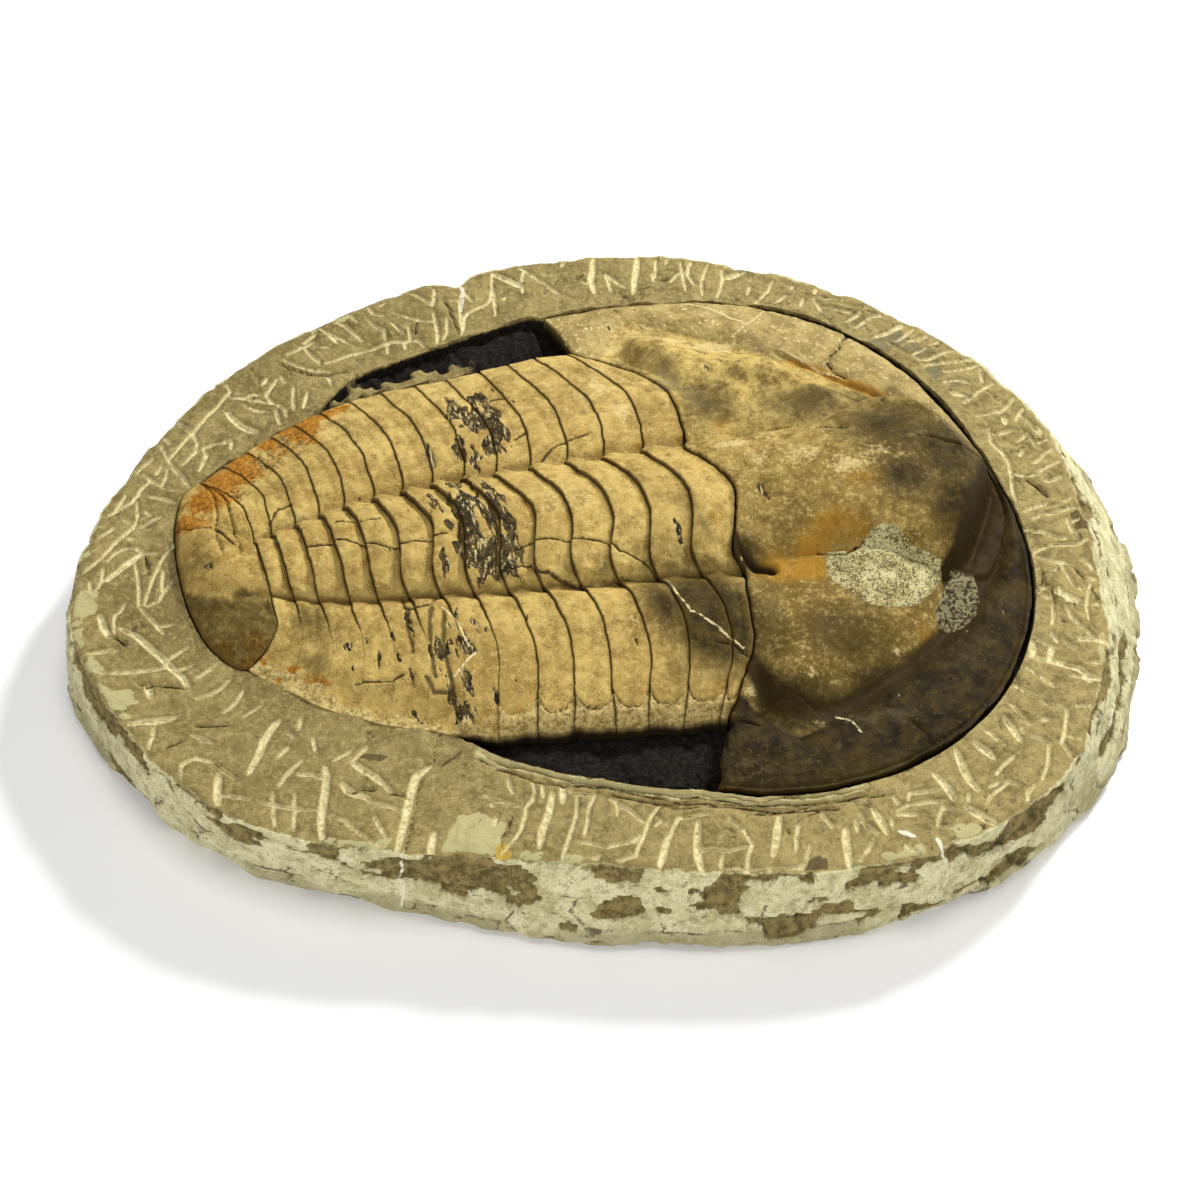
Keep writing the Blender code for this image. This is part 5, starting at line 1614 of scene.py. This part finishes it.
def head_edges(c):
    """The back edge of the head and its outer rim, for fans from -1 (near) to 1 (far)."""
    full = genal_turn(c)
    corner_b = HEAD_HALF_WIDTH * np.sin(full)
    c = np.sign(c) * np.abs(c) ** COLUMN_CROWDING
    b_rear = corner_b * np.sin(.5 * np.pi * c)
    axis_half, far_half, near_half = EDGES[0][1:4]
    held = np.clip(station_of(b_rear, axis_half, far_half, near_half), -2, 2)
    half = np.where(c > 0, far_half, near_half)
    beyond_tip = np.clip((np.abs(b_rear) - half) / (corner_b - half), 0, 1)
    corner_a = np.where(c > 0, GENAL_FAR_A, GENAL_NEAR_A)
    a_rear = edge_points(0, held)[0]
    a_rear = a_rear + (corner_a - a_rear) * beyond_tip + .5 * HEAD_GAP
    torn = layered(np.column_stack([b_rear, 0 * b_rear, 0 * b_rear]), 11, 4, 73)
    a_rear = a_rear + TORN_DEPTH * (torn + .3) * smooth(beyond_tip / .15) * (c < 0)
    turn = full * c
    nicks = layered(np.column_stack([90 * np.cos(turn), 90 * np.sin(turn), 0 * c]), 7, 3, 72)
    far_front = smooth((turn - .15) / .3) * smooth((1.35 - turn) / .4)
    spread_out = HEAD_SPREAD - FAR_FRONT_TRIM * far_front + NICK_DEPTH * nicks
    a_front, b_front = head_outline(turn, spread_out)
    return held, a_rear, b_rear, a_front, b_front


def build_head():
    item, column, row = lay_grid("head", HEAD_COLUMNS, HEAD_ROWS)
    v = row / (HEAD_ROWS - 1)
    v = (1 - HEAD_ROW_EASE) * v + HEAD_ROW_EASE * smooth(v)
    held, a_rear, b_rear, a_front, b_front = head_edges(2 * column / (HEAD_COLUMNS - 1) - 1)
    a = a_rear + (a_front - a_rear) * v
    b = b_rear + (b_front - b_rear) * v
    form, inside = head_form(a, b)
    cheek = smooth((84 - a) / 20) * smooth((b - 40) / 30)
    form = form - CHEEK_FOLD * bell(inside - .16, .10) * cheek
    rear_z = shell_height(0, held) + lap_height(0, held, 1)
    beyond = smooth((np.abs(b_rear) - REAR_FLAT_FROM) / REAR_FLAT_OVER)
    rear_z = rear_z * (1 - beyond) + form * beyond
    from_rear = a - a_rear
    reach = smooth(from_rear / REAR_BORDER)
    flat = np.stack([a, b], axis=1)
    z = rear_z * (1 - reach) + form * reach
    z = z + head_relief(flat, inside) * smooth(from_rear / 4)
    found = marks(flat, z)
    z = z + HEAD_CARVING * carve(flat, z, found)
    edge = np.minimum(HEAD_REACH * from_rim(a, b), from_rear)
    z = z - HEAD_EDGE_DROP * np.maximum(0, 1 - edge / HEAD_EDGE_ROUNDING) ** 2
    write_places(item, stay_in_box(to_world(a, b, z)))
    paint_all(item, {**found, **head_masks(flat, inside, from_rear)})
    close_below(item, UNDERSIDE_Z)
    print("head has", len(item.data.vertices), "vertices")
    return item


head = build_head()

# %% [markdown]
# ## The tail
# The small tail shield closes the body: a low dome with a rounded outline, the last ring
# of the axis running out on it. A furrow sets off its near flank, which is lowered and
# painted dark, partly as umber stain and partly as painted shade, and two ridges cross
# its far side.

# %% Build the tail
TAIL_COLUMNS = 220
TAIL_ROWS = 76
TAIL_FURROW = ((-102, -15), (-113, -12), (-124, -10), (-133, -7), (-140, -1), (-146, 10))
TAIL_FURROW_DEPTH = 1.6
NEAR_FLANK_DROP = 1.2
# How dark the near flank is painted: partly umber stain, partly painted shade.
NEAR_FLANK_UMBER_AND_SHADE = .68
# Lumps of the tail: a, b, reach along a, reach along b, height.
AXIS_END = (-131, 11, 8, 13, 2.6)
AXIS_PIT = (-138, -3, 4, 3, -1.2)
AXIS_KNOB = (-128, 2, 5, 4, .9)
RIDGE_PLACES = (.24, .46)
TAIL_CARVING = 1.6


def tail_lump(a, b, lump):
    lump_a, lump_b, reach_a, reach_b, rise = lump
    return rise * hump(a - lump_a, reach_a, b - lump_b, reach_b)


def build_tail():
    item, column, row = lay_grid("tail", TAIL_COLUMNS, TAIL_ROWS)
    v = row / (TAIL_ROWS - 1)
    axis_half, far_half, near_half = EDGES[-1][1:4]
    b_front = -near_half + (near_half + far_half) * column / (TAIL_COLUMNS - 1)
    station = np.clip(station_of(b_front, axis_half, far_half, near_half), -2, 2)
    front_a, front_b = edge_points(SEGMENTS, station)
    back_a, back_b = tail_outline(station / 2)
    length = np.hypot(front_a - back_a, front_b - back_b)
    a = front_a * (1 - v) + back_a * v - .5 * PLATE_GAP * (1 - v)
    b = front_b * (1 - v) + back_b * v
    z = shell_height(SEGMENTS, station) + lap_height(SEGMENTS, station, .6 * v)
    low = MARGIN_Z * TAIL_SCALE
    z = low + (z - low) * (1 - v ** 2.2)
    z = z + tail_lump(a, b, AXIS_END) + tail_lump(a, b, AXIS_PIT)
    flat = np.stack([a, b], axis=1)
    found = marks(flat, z)
    z = z + TAIL_CARVING * carve(flat, z, found)
    line_a, line_b = np.array(TAIL_FURROW[::-1], float).T
    near_flank = smooth((np.interp(a, line_a, line_b) - b) / 5)
    furrow = TAIL_FURROW_DEPTH * bell(distance_to_line(flat, TAIL_FURROW)[0], 2.4)
    z = z - (furrow + NEAR_FLANK_DROP * near_flank) * smooth(v / .12)
    wave = .03 * lumps(np.column_stack([flat, 0 * a]), 8, 81)
    ridges = np.min([np.abs(v + wave - at) * length for at in RIDGE_PLACES], axis=0)
    ridges = ridges + 2 * smooth((8 - b) / 10)
    z = z - 1 * bell(ridges, .9) + tail_lump(a, b, AXIS_KNOB)
    z = z - .7 * np.maximum(0, 1 - np.minimum(v, 1 - v) * length / .9) ** 2
    write_places(item, stay_in_box(to_world(a, b, z)))
    # The near flank is painted dark through the umber value, partly as stain and partly as painted shade.
    found["umber"] = np.maximum(found["umber"], NEAR_FLANK_UMBER_AND_SHADE * near_flank)
    found["crack"] = np.minimum(found["crack"], ridges + .2)
    # Distance from the front joint, for its dark line of painted shade.
    found["edge"] = v * length + .15
    # Painted shade, kept as brown, along the tail's outline.
    found["brown"] = .8 * bell((1 - v) * length, 2.5)
    found["far_side"] = smooth((b - 5) / 30)
    paint_all(item, found)
    close_below(item, UNDERSIDE_Z)
    return item


tail = build_tail()
print("tail has", len(tail.data.vertices), "vertices")

# %% [markdown]
# ## Shader tools
# Each finish is mixed from layers. `feed` sets a socket or links to it, `add` makes a node,
# `blend` lays one colour over another through a mask. Two effects are shared by all the
# finishes and so are node groups: `grain`, noises of several sizes in object coordinates,
# and `ragged_mask`, which cuts a crisp uneven edge out of a value that a vertex keeps.

# %% Node helpers
MIX_FACTOR, MIX_UNDER, MIX_OVER, MIX_RESULT = 0, 6, 7, 2    # sockets of a colour Mix node


def feed(tree, socket, value):
    if isinstance(value, bpy.types.NodeSocket):
        tree.links.new(value, socket)
    else:
        socket.default_value = value


def add(tree, kind, inputs=None, **settings):
    node = tree.nodes.new(kind)
    for name, value in settings.items():
        setattr(node, name, value)
    for name, value in (inputs or {}).items():
        feed(tree, node.inputs[name], value)
    return node


def blend(tree, mask, under, over):
    """Lays one colour over another through a mask. A colour is a socket or three numbers."""
    node = add(tree, "ShaderNodeMix", data_type="RGBA", blend_type="MIX")
    feed(tree, node.inputs[MIX_FACTOR], mask)
    for index, colour in ((MIX_UNDER, under), (MIX_OVER, over)):
        feed(tree, node.inputs[index], (*colour, 1) if isinstance(colour, tuple) else colour)
    return node.outputs[MIX_RESULT]


def compute(tree, operation, first, second=0, third=0):
    node = add(tree, "ShaderNodeMath", operation=operation)
    for index, value in enumerate((first, second, third)):
        feed(tree, node.inputs[index], value)
    return node.outputs[0]


def scaled(tree, mask, factor):
    return compute(tree, "MULTIPLY", mask, factor)


def spread(tree, value, low, high, to_low=0, to_high=1):
    """A soft step from to_low to to_high while the value goes from low to high."""
    inputs = {"Value": value, "From Min": low, "From Max": high, "To Min": to_low, "To Max": to_high}
    return add(tree, "ShaderNodeMapRange", inputs, interpolation_type="SMOOTHSTEP").outputs["Result"]


def noise_of(tree, where, scale, detail=4, rough_share=.6):
    inputs = {"Vector": where, "Scale": scale, "Detail": detail, "Roughness": rough_share}
    return add(tree, "ShaderNodeTexNoise", inputs).outputs["Fac"]


def kept_value(tree, name):
    node = add(tree, "ShaderNodeAttribute", attribute_name=name, attribute_type="GEOMETRY")
    return node.outputs["Fac"]


print("shader helpers are ready")

# %% The shared node groups
# Each noise of the grain: bumps per metre, detail and roughness.
GRAIN = {
    "Broad": (28, 4, .6),
    "Mottle": (130, 5, .6),
    "Blotch": (300, 6, .72),
    "Fine": (620, 4, .7),
    "Dust": (2100, 3, .75),
}
SPECK_SCALE = 620
SPECK_PATCH_SCALE = 330
STREAK_SCALE = 800
STREAK_STRETCH = (1, .16, 1)


def new_group(name, inputs, outputs):
    tree = bpy.data.node_groups.new(name, "ShaderNodeTree")
    for label, value in inputs.items():
        socket = tree.interface.new_socket(label, in_out="INPUT", socket_type="NodeSocketFloat")
        socket.default_value = value
    for label in outputs:
        tree.interface.new_socket(label, in_out="OUTPUT", socket_type="NodeSocketFloat")
    return tree, tree.nodes.new("NodeGroupInput"), tree.nodes.new("NodeGroupOutput")


def make_grain_group():
    tree, _, end = new_group("grain", {}, [*GRAIN, "Specks", "Streaks"])
    where = add(tree, "ShaderNodeTexCoord").outputs["Object"]
    for name, (scale, detail, rough_share) in GRAIN.items():
        feed(tree, end.inputs[name], noise_of(tree, where, scale, detail, rough_share))
    drawn_out = add(tree, "ShaderNodeVectorMath", operation="MULTIPLY")
    feed(tree, drawn_out.inputs[0], where)
    feed(tree, drawn_out.inputs[1], STREAK_STRETCH)
    streaks = noise_of(tree, drawn_out.outputs["Vector"], STREAK_SCALE, 4, .7)
    feed(tree, end.inputs["Streaks"], streaks)
    cells = add(tree, "ShaderNodeTexVoronoi", {"Vector": where, "Scale": SPECK_SCALE})
    dots = spread(tree, cells.outputs["Distance"], .30, .18)
    rare = spread(tree, noise_of(tree, where, SPECK_PATCH_SCALE, 2), .52, .66)
    feed(tree, end.inputs["Specks"], compute(tree, "MULTIPLY", dots, rare))
    return tree


def make_ragged_group():
    inputs = {"Value": 0, "Noise": .5, "Amount": .5, "From": .4, "To": .6}
    tree, start, end = new_group("ragged_mask", inputs, ["Mask"])
    centred = compute(tree, "SUBTRACT", start.outputs["Noise"], .5)
    value = compute(tree, "MULTIPLY_ADD", centred, start.outputs["Amount"], start.outputs["Value"])
    feed(tree, end.inputs["Mask"], spread(tree, value, start.outputs["From"], start.outputs["To"]))
    return tree


grain_group = make_grain_group()
ragged_group = make_ragged_group()
print("node groups:", grain_group.name, "and", ragged_group.name)


# %% Layers of a finish
def finish_material(name, roughness, specular):
    """A new material, its tree and shader, and the outputs of the grain group by name."""
    material = bpy.data.materials.new(name)
    material.use_nodes = True
    tree = material.node_tree
    shader = tree.nodes["Principled BSDF"]
    shader.inputs["Roughness"].default_value = roughness
    shader.inputs["Specular IOR Level"].default_value = specular
    return material, tree, shader, add(tree, "ShaderNodeGroup", node_tree=grain_group).outputs


def ragged(tree, name, low, high, wobble, amount):
    """Mask from a kept value: 0 at low, 1 at high; low may be the larger one."""
    inputs = {"Value": kept_value(tree, name), "Noise": wobble, "Amount": amount, "From": low, "To": high}
    return add(tree, "ShaderNodeGroup", inputs, node_tree=ragged_group).outputs["Mask"]


def two_tone(tree, value, low, high, first, second):
    return blend(tree, spread(tree, value, low, high), first, second)


def pile(tree, grain, colour, layers):
    """Lays rows of (noise, low, high, share, colour), or of (kept value, low, high, noise,
    amount, share, colour), over a colour one after another."""
    for name, low, high, *frayed, share, over in layers:
        if frayed:
            mask = ragged(tree, name, low, high, grain[frayed[0]], frayed[1])
        else:
            mask = spread(tree, grain[name], low, high)
        colour = blend(tree, scaled(tree, mask, share) if share < 1 else mask, colour, over)
    return colour


def roughen(tree, shader, grain, dust_share, strength, distance):
    height = compute(tree, "MULTIPLY_ADD", grain["Dust"], dust_share, grain["Fine"])
    bump = add(tree, "ShaderNodeBump", {"Height": height, "Strength": strength, "Distance": distance})
    feed(tree, shader.inputs["Normal"], bump.outputs["Normal"])


print("layer tools are ready")

# %% [markdown]
# ## The stone
# Olive-brown mudstone with paler chisel strokes, thin dark cracks, a few blue-grey and
# rusty stains and, round the edge, the greenish-grey rasped wall with brown broken places.
# The floor of the hollow is painted nearly black, as shade.
# A finish is a pile of layers. A row of five lays its colour where a noise lies in a range
# (noise, low, high, share, colour); a row of seven where a value kept on the vertices does,
# frayed by a noise (value, low, high, noise, amount, share, colour).

# %% Mix the stone
FACE_LAYERS = (
    ("Broad", .35, .65, 1, (.31, .24, .088)),
    ("Mottle", .42, .70, .8, (.155, .115, .038)),
    ("Blotch", .50, .62, .5, (.15, .11, .036)),
    ("Blotch", .47, .36, .5, (.43, .35, .14)),
    ("Fine", .50, .66, .5, (.44, .36, .15)),
    ("Dust", .56, .68, .5, (.11, .08, .028)),
    ("blue", .35, .6, "Mottle", .6, .8, (.17, .15, .075)),
    ("stain", .35, .6, "Mottle", .7, .8, (.07, .05, .018)),
    ("rasp", .40, .60, "Mottle", 1.1, .85, (.46, .42, .20)),
    ("ochre", .45, .55, "Fine", .3, 1, (.48, .32, .055)),
    ("lip", .35, .7, "Mottle", .9, .8, (.52, .45, .22)),
    ("seam", .55, .1, "Fine", 1.2, .65, (.06, .043, .016)),
)
WALL_LAYERS = (
    ("Dust", .53, .64, .6, (.14, .12, .055)),
    ("Fine", .52, .70, .5, (.84, .80, .54)),
    ("Blotch", .50, .60, .5, (.24, .205, .09)),
)
CROSSING_LAYERS = (
    ("vein", .15, -.15, "Fine", .9, 1, (.74, .68, .52)),
    ("crack", .30, -.05, "Fine", .9, .9, (.04, .027, .010)),
)


def make_stone():
    material, tree, shader, grain = finish_material("stone", .9, .15)
    face = blend(tree, kept_value(tree, "tone"), (.185, .14, .046), (.35, .275, .105))
    face = pile(tree, grain, face, FACE_LAYERS)
    pale = two_tone(tree, grain["Fine"], .35, .65, (.50, .41, .17), (.80, .72, .42))
    face = pile(tree, grain, face, [("stroke", .45, -.35, "Fine", 2.4, .9, pale)])
    wall = two_tone(tree, grain["Mottle"], .40, .66, (.66, .61, .36), (.46, .42, .21))
    wall = pile(tree, grain, wall, WALL_LAYERS)
    wall = blend(tree, scaled(tree, kept_value(tree, "bed"), .55), wall, (.23, .20, .095))
    brown = two_tone(tree, grain["Blotch"], .40, .62, (.25, .19, .07), (.10, .075, .024))
    wall = pile(tree, grain, wall, [("broken", .30, .70, "Fine", 1, 1, brown),
                                    ("seam", .45, .05, "Fine", 1, .8, (.05, .038, .015))])
    colour = pile(tree, grain, face, [("wall", .40, .60, "Mottle", 1.6, 1, wall), *CROSSING_LAYERS])
    colour = blend(tree, scaled(tree, grain["Specks"], .6), colour, (.06, .042, .015))
    # Painted shade: the floor and sides of the hollow are mixed nearly black.
    floor = two_tone(tree, grain["Fine"], .40, .68, (.003, .0024, .0014), (.018, .012, .007))
    colour = pile(tree, grain, colour, [("hollow_shade", .1, .8, "Blotch", 1.3, 1, floor)])
    feed(tree, shader.inputs["Base Color"], colour)
    feed(tree, shader.inputs["Roughness"], spread(tree, grain["Fine"], .3, .7, .98, .80))
    roughen(tree, shader, grain, .6, .8, .0008)
    return material


stone = make_stone()
print("stone is mixed from", len(stone.node_tree.nodes), "nodes")

# %% [markdown]
# ## The fossil shell
# The shell turned to a tan, slightly waxy stone. On top of its mottled base lie the marks
# in the order in which they happened: blue-grey and pale mottling, gold and rust, umber,
# which on the head's near side and front is partly stain and partly painted shade, dark
# flakes, the repairs, and last the cracks, with painted shade in the joints and furrows.
# The head, thorax and tail use the same layers and differ in their base colours and polish;
# each is mixed lighter on its far side, partly as its own colour and partly as painted light.

# %% Stains, flakes and repairs of the shell
UMBER_LAYERS = (
    ("Blotch", .52, .64, .4, (.115, .068, .010)),
    ("Fine", .53, .66, .28, (.15, .10, .026)),
)
DAMAGE_AND_JOINT_SHADE_LAYERS = (
    ("vein", .50, .15, "Fine", 2.2, .85, (.68, .57, .30)),
    ("crack", .60, .15, "Fine", 1.5, .92, (.028, .018, .006)),
    # Painted shade: a dark line along the edges of each plate, in its joints.
    ("edge", .60, .10, "Fine", .9, .7, (.06, .038, .010)),
)


def lay_stains(tree, grain, colour):
    """Blue-grey, gold, rust, umber and pale mottling, from the values kept on the shell."""
    rusty = two_tone(tree, grain["Fine"], .36, .66, (.20, .070, .006), (.44, .195, .018))
    umber = two_tone(tree, grain["Mottle"], .38, .66, (.017, .0115, .0025), (.050, .034, .0065))
    umber = pile(tree, grain, umber, UMBER_LAYERS)
    return pile(tree, grain, colour, (
        ("blue", .25, .75, "Mottle", 1, .8, (.22, .17, .068)),
        ("gold", .2, .8, "Mottle", .9, .8, (.33, .165, .014)),
        ("rust", .26, .55, "Blotch", .9, .92, rusty),
        ("umber", .08, .92, "Blotch", .55, .97, umber),
        ("pale", .30, .75, "Fine", 1.5, .8, (.56, .44, .19)),
    ))


def lay_flakes(tree, grain, colour):
    """Black flaked patches, streaked along the rings."""
    flake = two_tone(tree, grain["Blotch"], .44, .60, (.022, .016, .007), (.085, .058, .020))
    flake = pile(tree, grain, flake, [("Streaks", .55, .62, 1, (.46, .37, .17))])
    near_flake = spread(tree, kept_value(tree, "dark"), .03, .30)
    ragged_flake = ragged(tree, "dark", .28, .58, grain["Streaks"], 2.6)
    return blend(tree, compute(tree, "MULTIPLY", ragged_flake, near_flake), colour, flake)


def lay_repairs(tree, grain, colour):
    """Two patches of filler on the head, one speckled and one murky."""
    patch = two_tone(tree, grain["Mottle"], .4, .6, (.50, .45, .22), (.42, .36, .15))
    even_dust = compute(tree, "SUBTRACT", grain["Dust"], .175)
    clustered = compute(tree, "MULTIPLY_ADD", grain["Mottle"], .35, even_dust)
    patch = blend(tree, spread(tree, clustered, .51, .55), patch, (.055, .042, .018))
    patch = pile(tree, grain, patch, [("Fine", .54, .58, .8, (.08, .06, .025))])
    murky = two_tone(tree, grain["Fine"], .46, .54, (.20, .18, .09), (.030, .022, .010))
    return pile(tree, grain, colour, (("repair", .25, -.25, "Fine", .8, 1, patch),
                                      ("repair_dark", .25, -.25, "Fine", .8, 1, murky)))


def lay_damage_and_shade(tree, grain, colour):
    """Pores, scores, clinging rock, veins, cracks and pepper, with painted shade along the joints, in the
    furrows and on the walls between the plates.
    """
    open_pores = spread(tree, grain["Fine"], .50, .40)
    porous = ragged(tree, "pore", .3, .7, grain["Mottle"], .5)
    pores = scaled(tree, compute(tree, "MULTIPLY", open_pores, porous), .75)
    colour = blend(tree, pores, colour, (.09, .055, .015))
    rock = two_tone(tree, grain["Fine"], .36, .62, (.23, .155, .045), (.50, .385, .15))
    colour = pile(tree, grain, colour, (("score", 1.1, .3, "Fine", 1.2, .8, (.045, .03, .012)),
                                        ("rock", .35, .65, "Fine", .8, 1, rock), *DAMAGE_AND_JOINT_SHADE_LAYERS))
    peppered = spread(tree, grain["Mottle"], .45, .62)
    pepper = compute(tree, "MULTIPLY", spread(tree, grain["Dust"], .52, .60), peppered)
    colour = blend(tree, scaled(tree, pepper, .65), colour, (.07, .045, .012))
    # Painted shade, kept as brown, in the furrows, at the joints and along the tail's outline.
    colour = pile(tree, grain, colour, [("brown", .25, .9, "Mottle", .7, .7, (.11, .066, .014))])
    colour = blend(tree, scaled(tree, grain["Specks"], .6), colour, (.07, .045, .012))
    # Painted shade on the walls that go down between the plates.
    return pile(tree, grain, colour, [("deep", .25, .75, "Fine", .3, 1, (.016, .011, .005))])


def head_extra(tree, grain, colour):
    """The near border is darkest and the far one tan, partly their own colours and partly painted light,
    with an orange band beside it; painted shade darkens the furrows and the front of the nose.
    """
    dark = two_tone(tree, grain["Mottle"], .38, .68, (.010, .007, .002), (.036, .023, .0045))
    dark = pile(tree, grain, dark, [("Fine", .57, .66, .4, (.11, .07, .016))])
    light = two_tone(tree, grain["Mottle"], .40, .64, (.24, .175, .06), (.44, .335, .125))
    light = pile(tree, grain, light, [("Fine", .56, .68, 1, (.66, .56, .30))])
    border = blend(tree, kept_value(tree, "far_side"), dark, light)
    return pile(tree, grain, colour, (
        ("inside", .03, -.02, "Mottle", .06, .92, border),
        ("band", .35, .75, "Mottle", 1.1, .85, (.34, .17, .02)),
        # Painted shade in the furrows and in front of the nose.
        ("shade", .35, .95, "Mottle", .5, 1, (.026, .016, .004)),
    ))


print("layers of the shell are ready")

# %% Mix the shell
def make_shell(name, near_tint, far_tint, deep_tint, gloss, extra=None):
    material, tree, shader, grain = finish_material(name, gloss, .06)
    # The far side is mixed lighter than the near one: partly the shell's own colour, partly painted light
    # falling from the far side.
    colour = blend(tree, kept_value(tree, "far_side"), near_tint, far_tint)
    colour = pile(tree, grain, colour, (
        ("Broad", .42, .62, .6, deep_tint),
        ("Mottle", .46, .66, .65, deep_tint),
        ("Blotch", .50, .64, .55, deep_tint),
        ("Blotch", .47, .36, .5, (.58, .44, .16)),
        ("Fine", .52, .66, .5, (.56, .43, .16)),
        ("Dust", .53, .62, .5, deep_tint),
    ))
    for step in (lay_stains, extra, lay_flakes, lay_repairs, lay_damage_and_shade):
        colour = step(tree, grain, colour) if step else colour
    feed(tree, shader.inputs["Base Color"], colour)
    dull = compute(tree, "MULTIPLY_ADD", grain["Fine"], .35, gloss - .15)
    feed(tree, shader.inputs["Roughness"], dull)
    roughen(tree, shader, grain, .4, .6, .0005)
    return material


# Each shell: its name, near, far and deep colour, roughness and own layers. The far colour is the lighter
# one, partly as the shell's own colour and partly as painted light.
head_shell = make_shell("head_shell", (.25, .17, .045), (.48, .35, .105), (.12, .073, .013), .60, head_extra)
thorax_shell = make_shell("thorax_shell", (.45, .32, .095), (.50, .365, .12), (.26, .165, .04), .66)
tail_shell = make_shell("tail_shell", (.42, .29, .082), (.47, .33, .095), (.24, .15, .035), .66)
print("finishes:", [material.name for material in bpy.data.materials if material.users])

# %% [markdown]
# ## Hand over
# Every new piece takes over from its plain solid, which is hidden, rides on the one rigid
# body and takes its finish.

# %% Replace the solids
def hand_over(piece, node, finish):
    piece.data.materials.clear()
    piece.data.materials.append(finish)
    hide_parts(node)
    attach(piece, "root")


hand_over(slab, "matrix_slab", stone)
hand_over(head, "head_shield", head_shell)
for number, segment in enumerate(segments, start=1):
    hand_over(segment, f"thorax_segment_{number:02d}", thorax_shell)
hand_over(tail, "tail_shield", tail_shell)
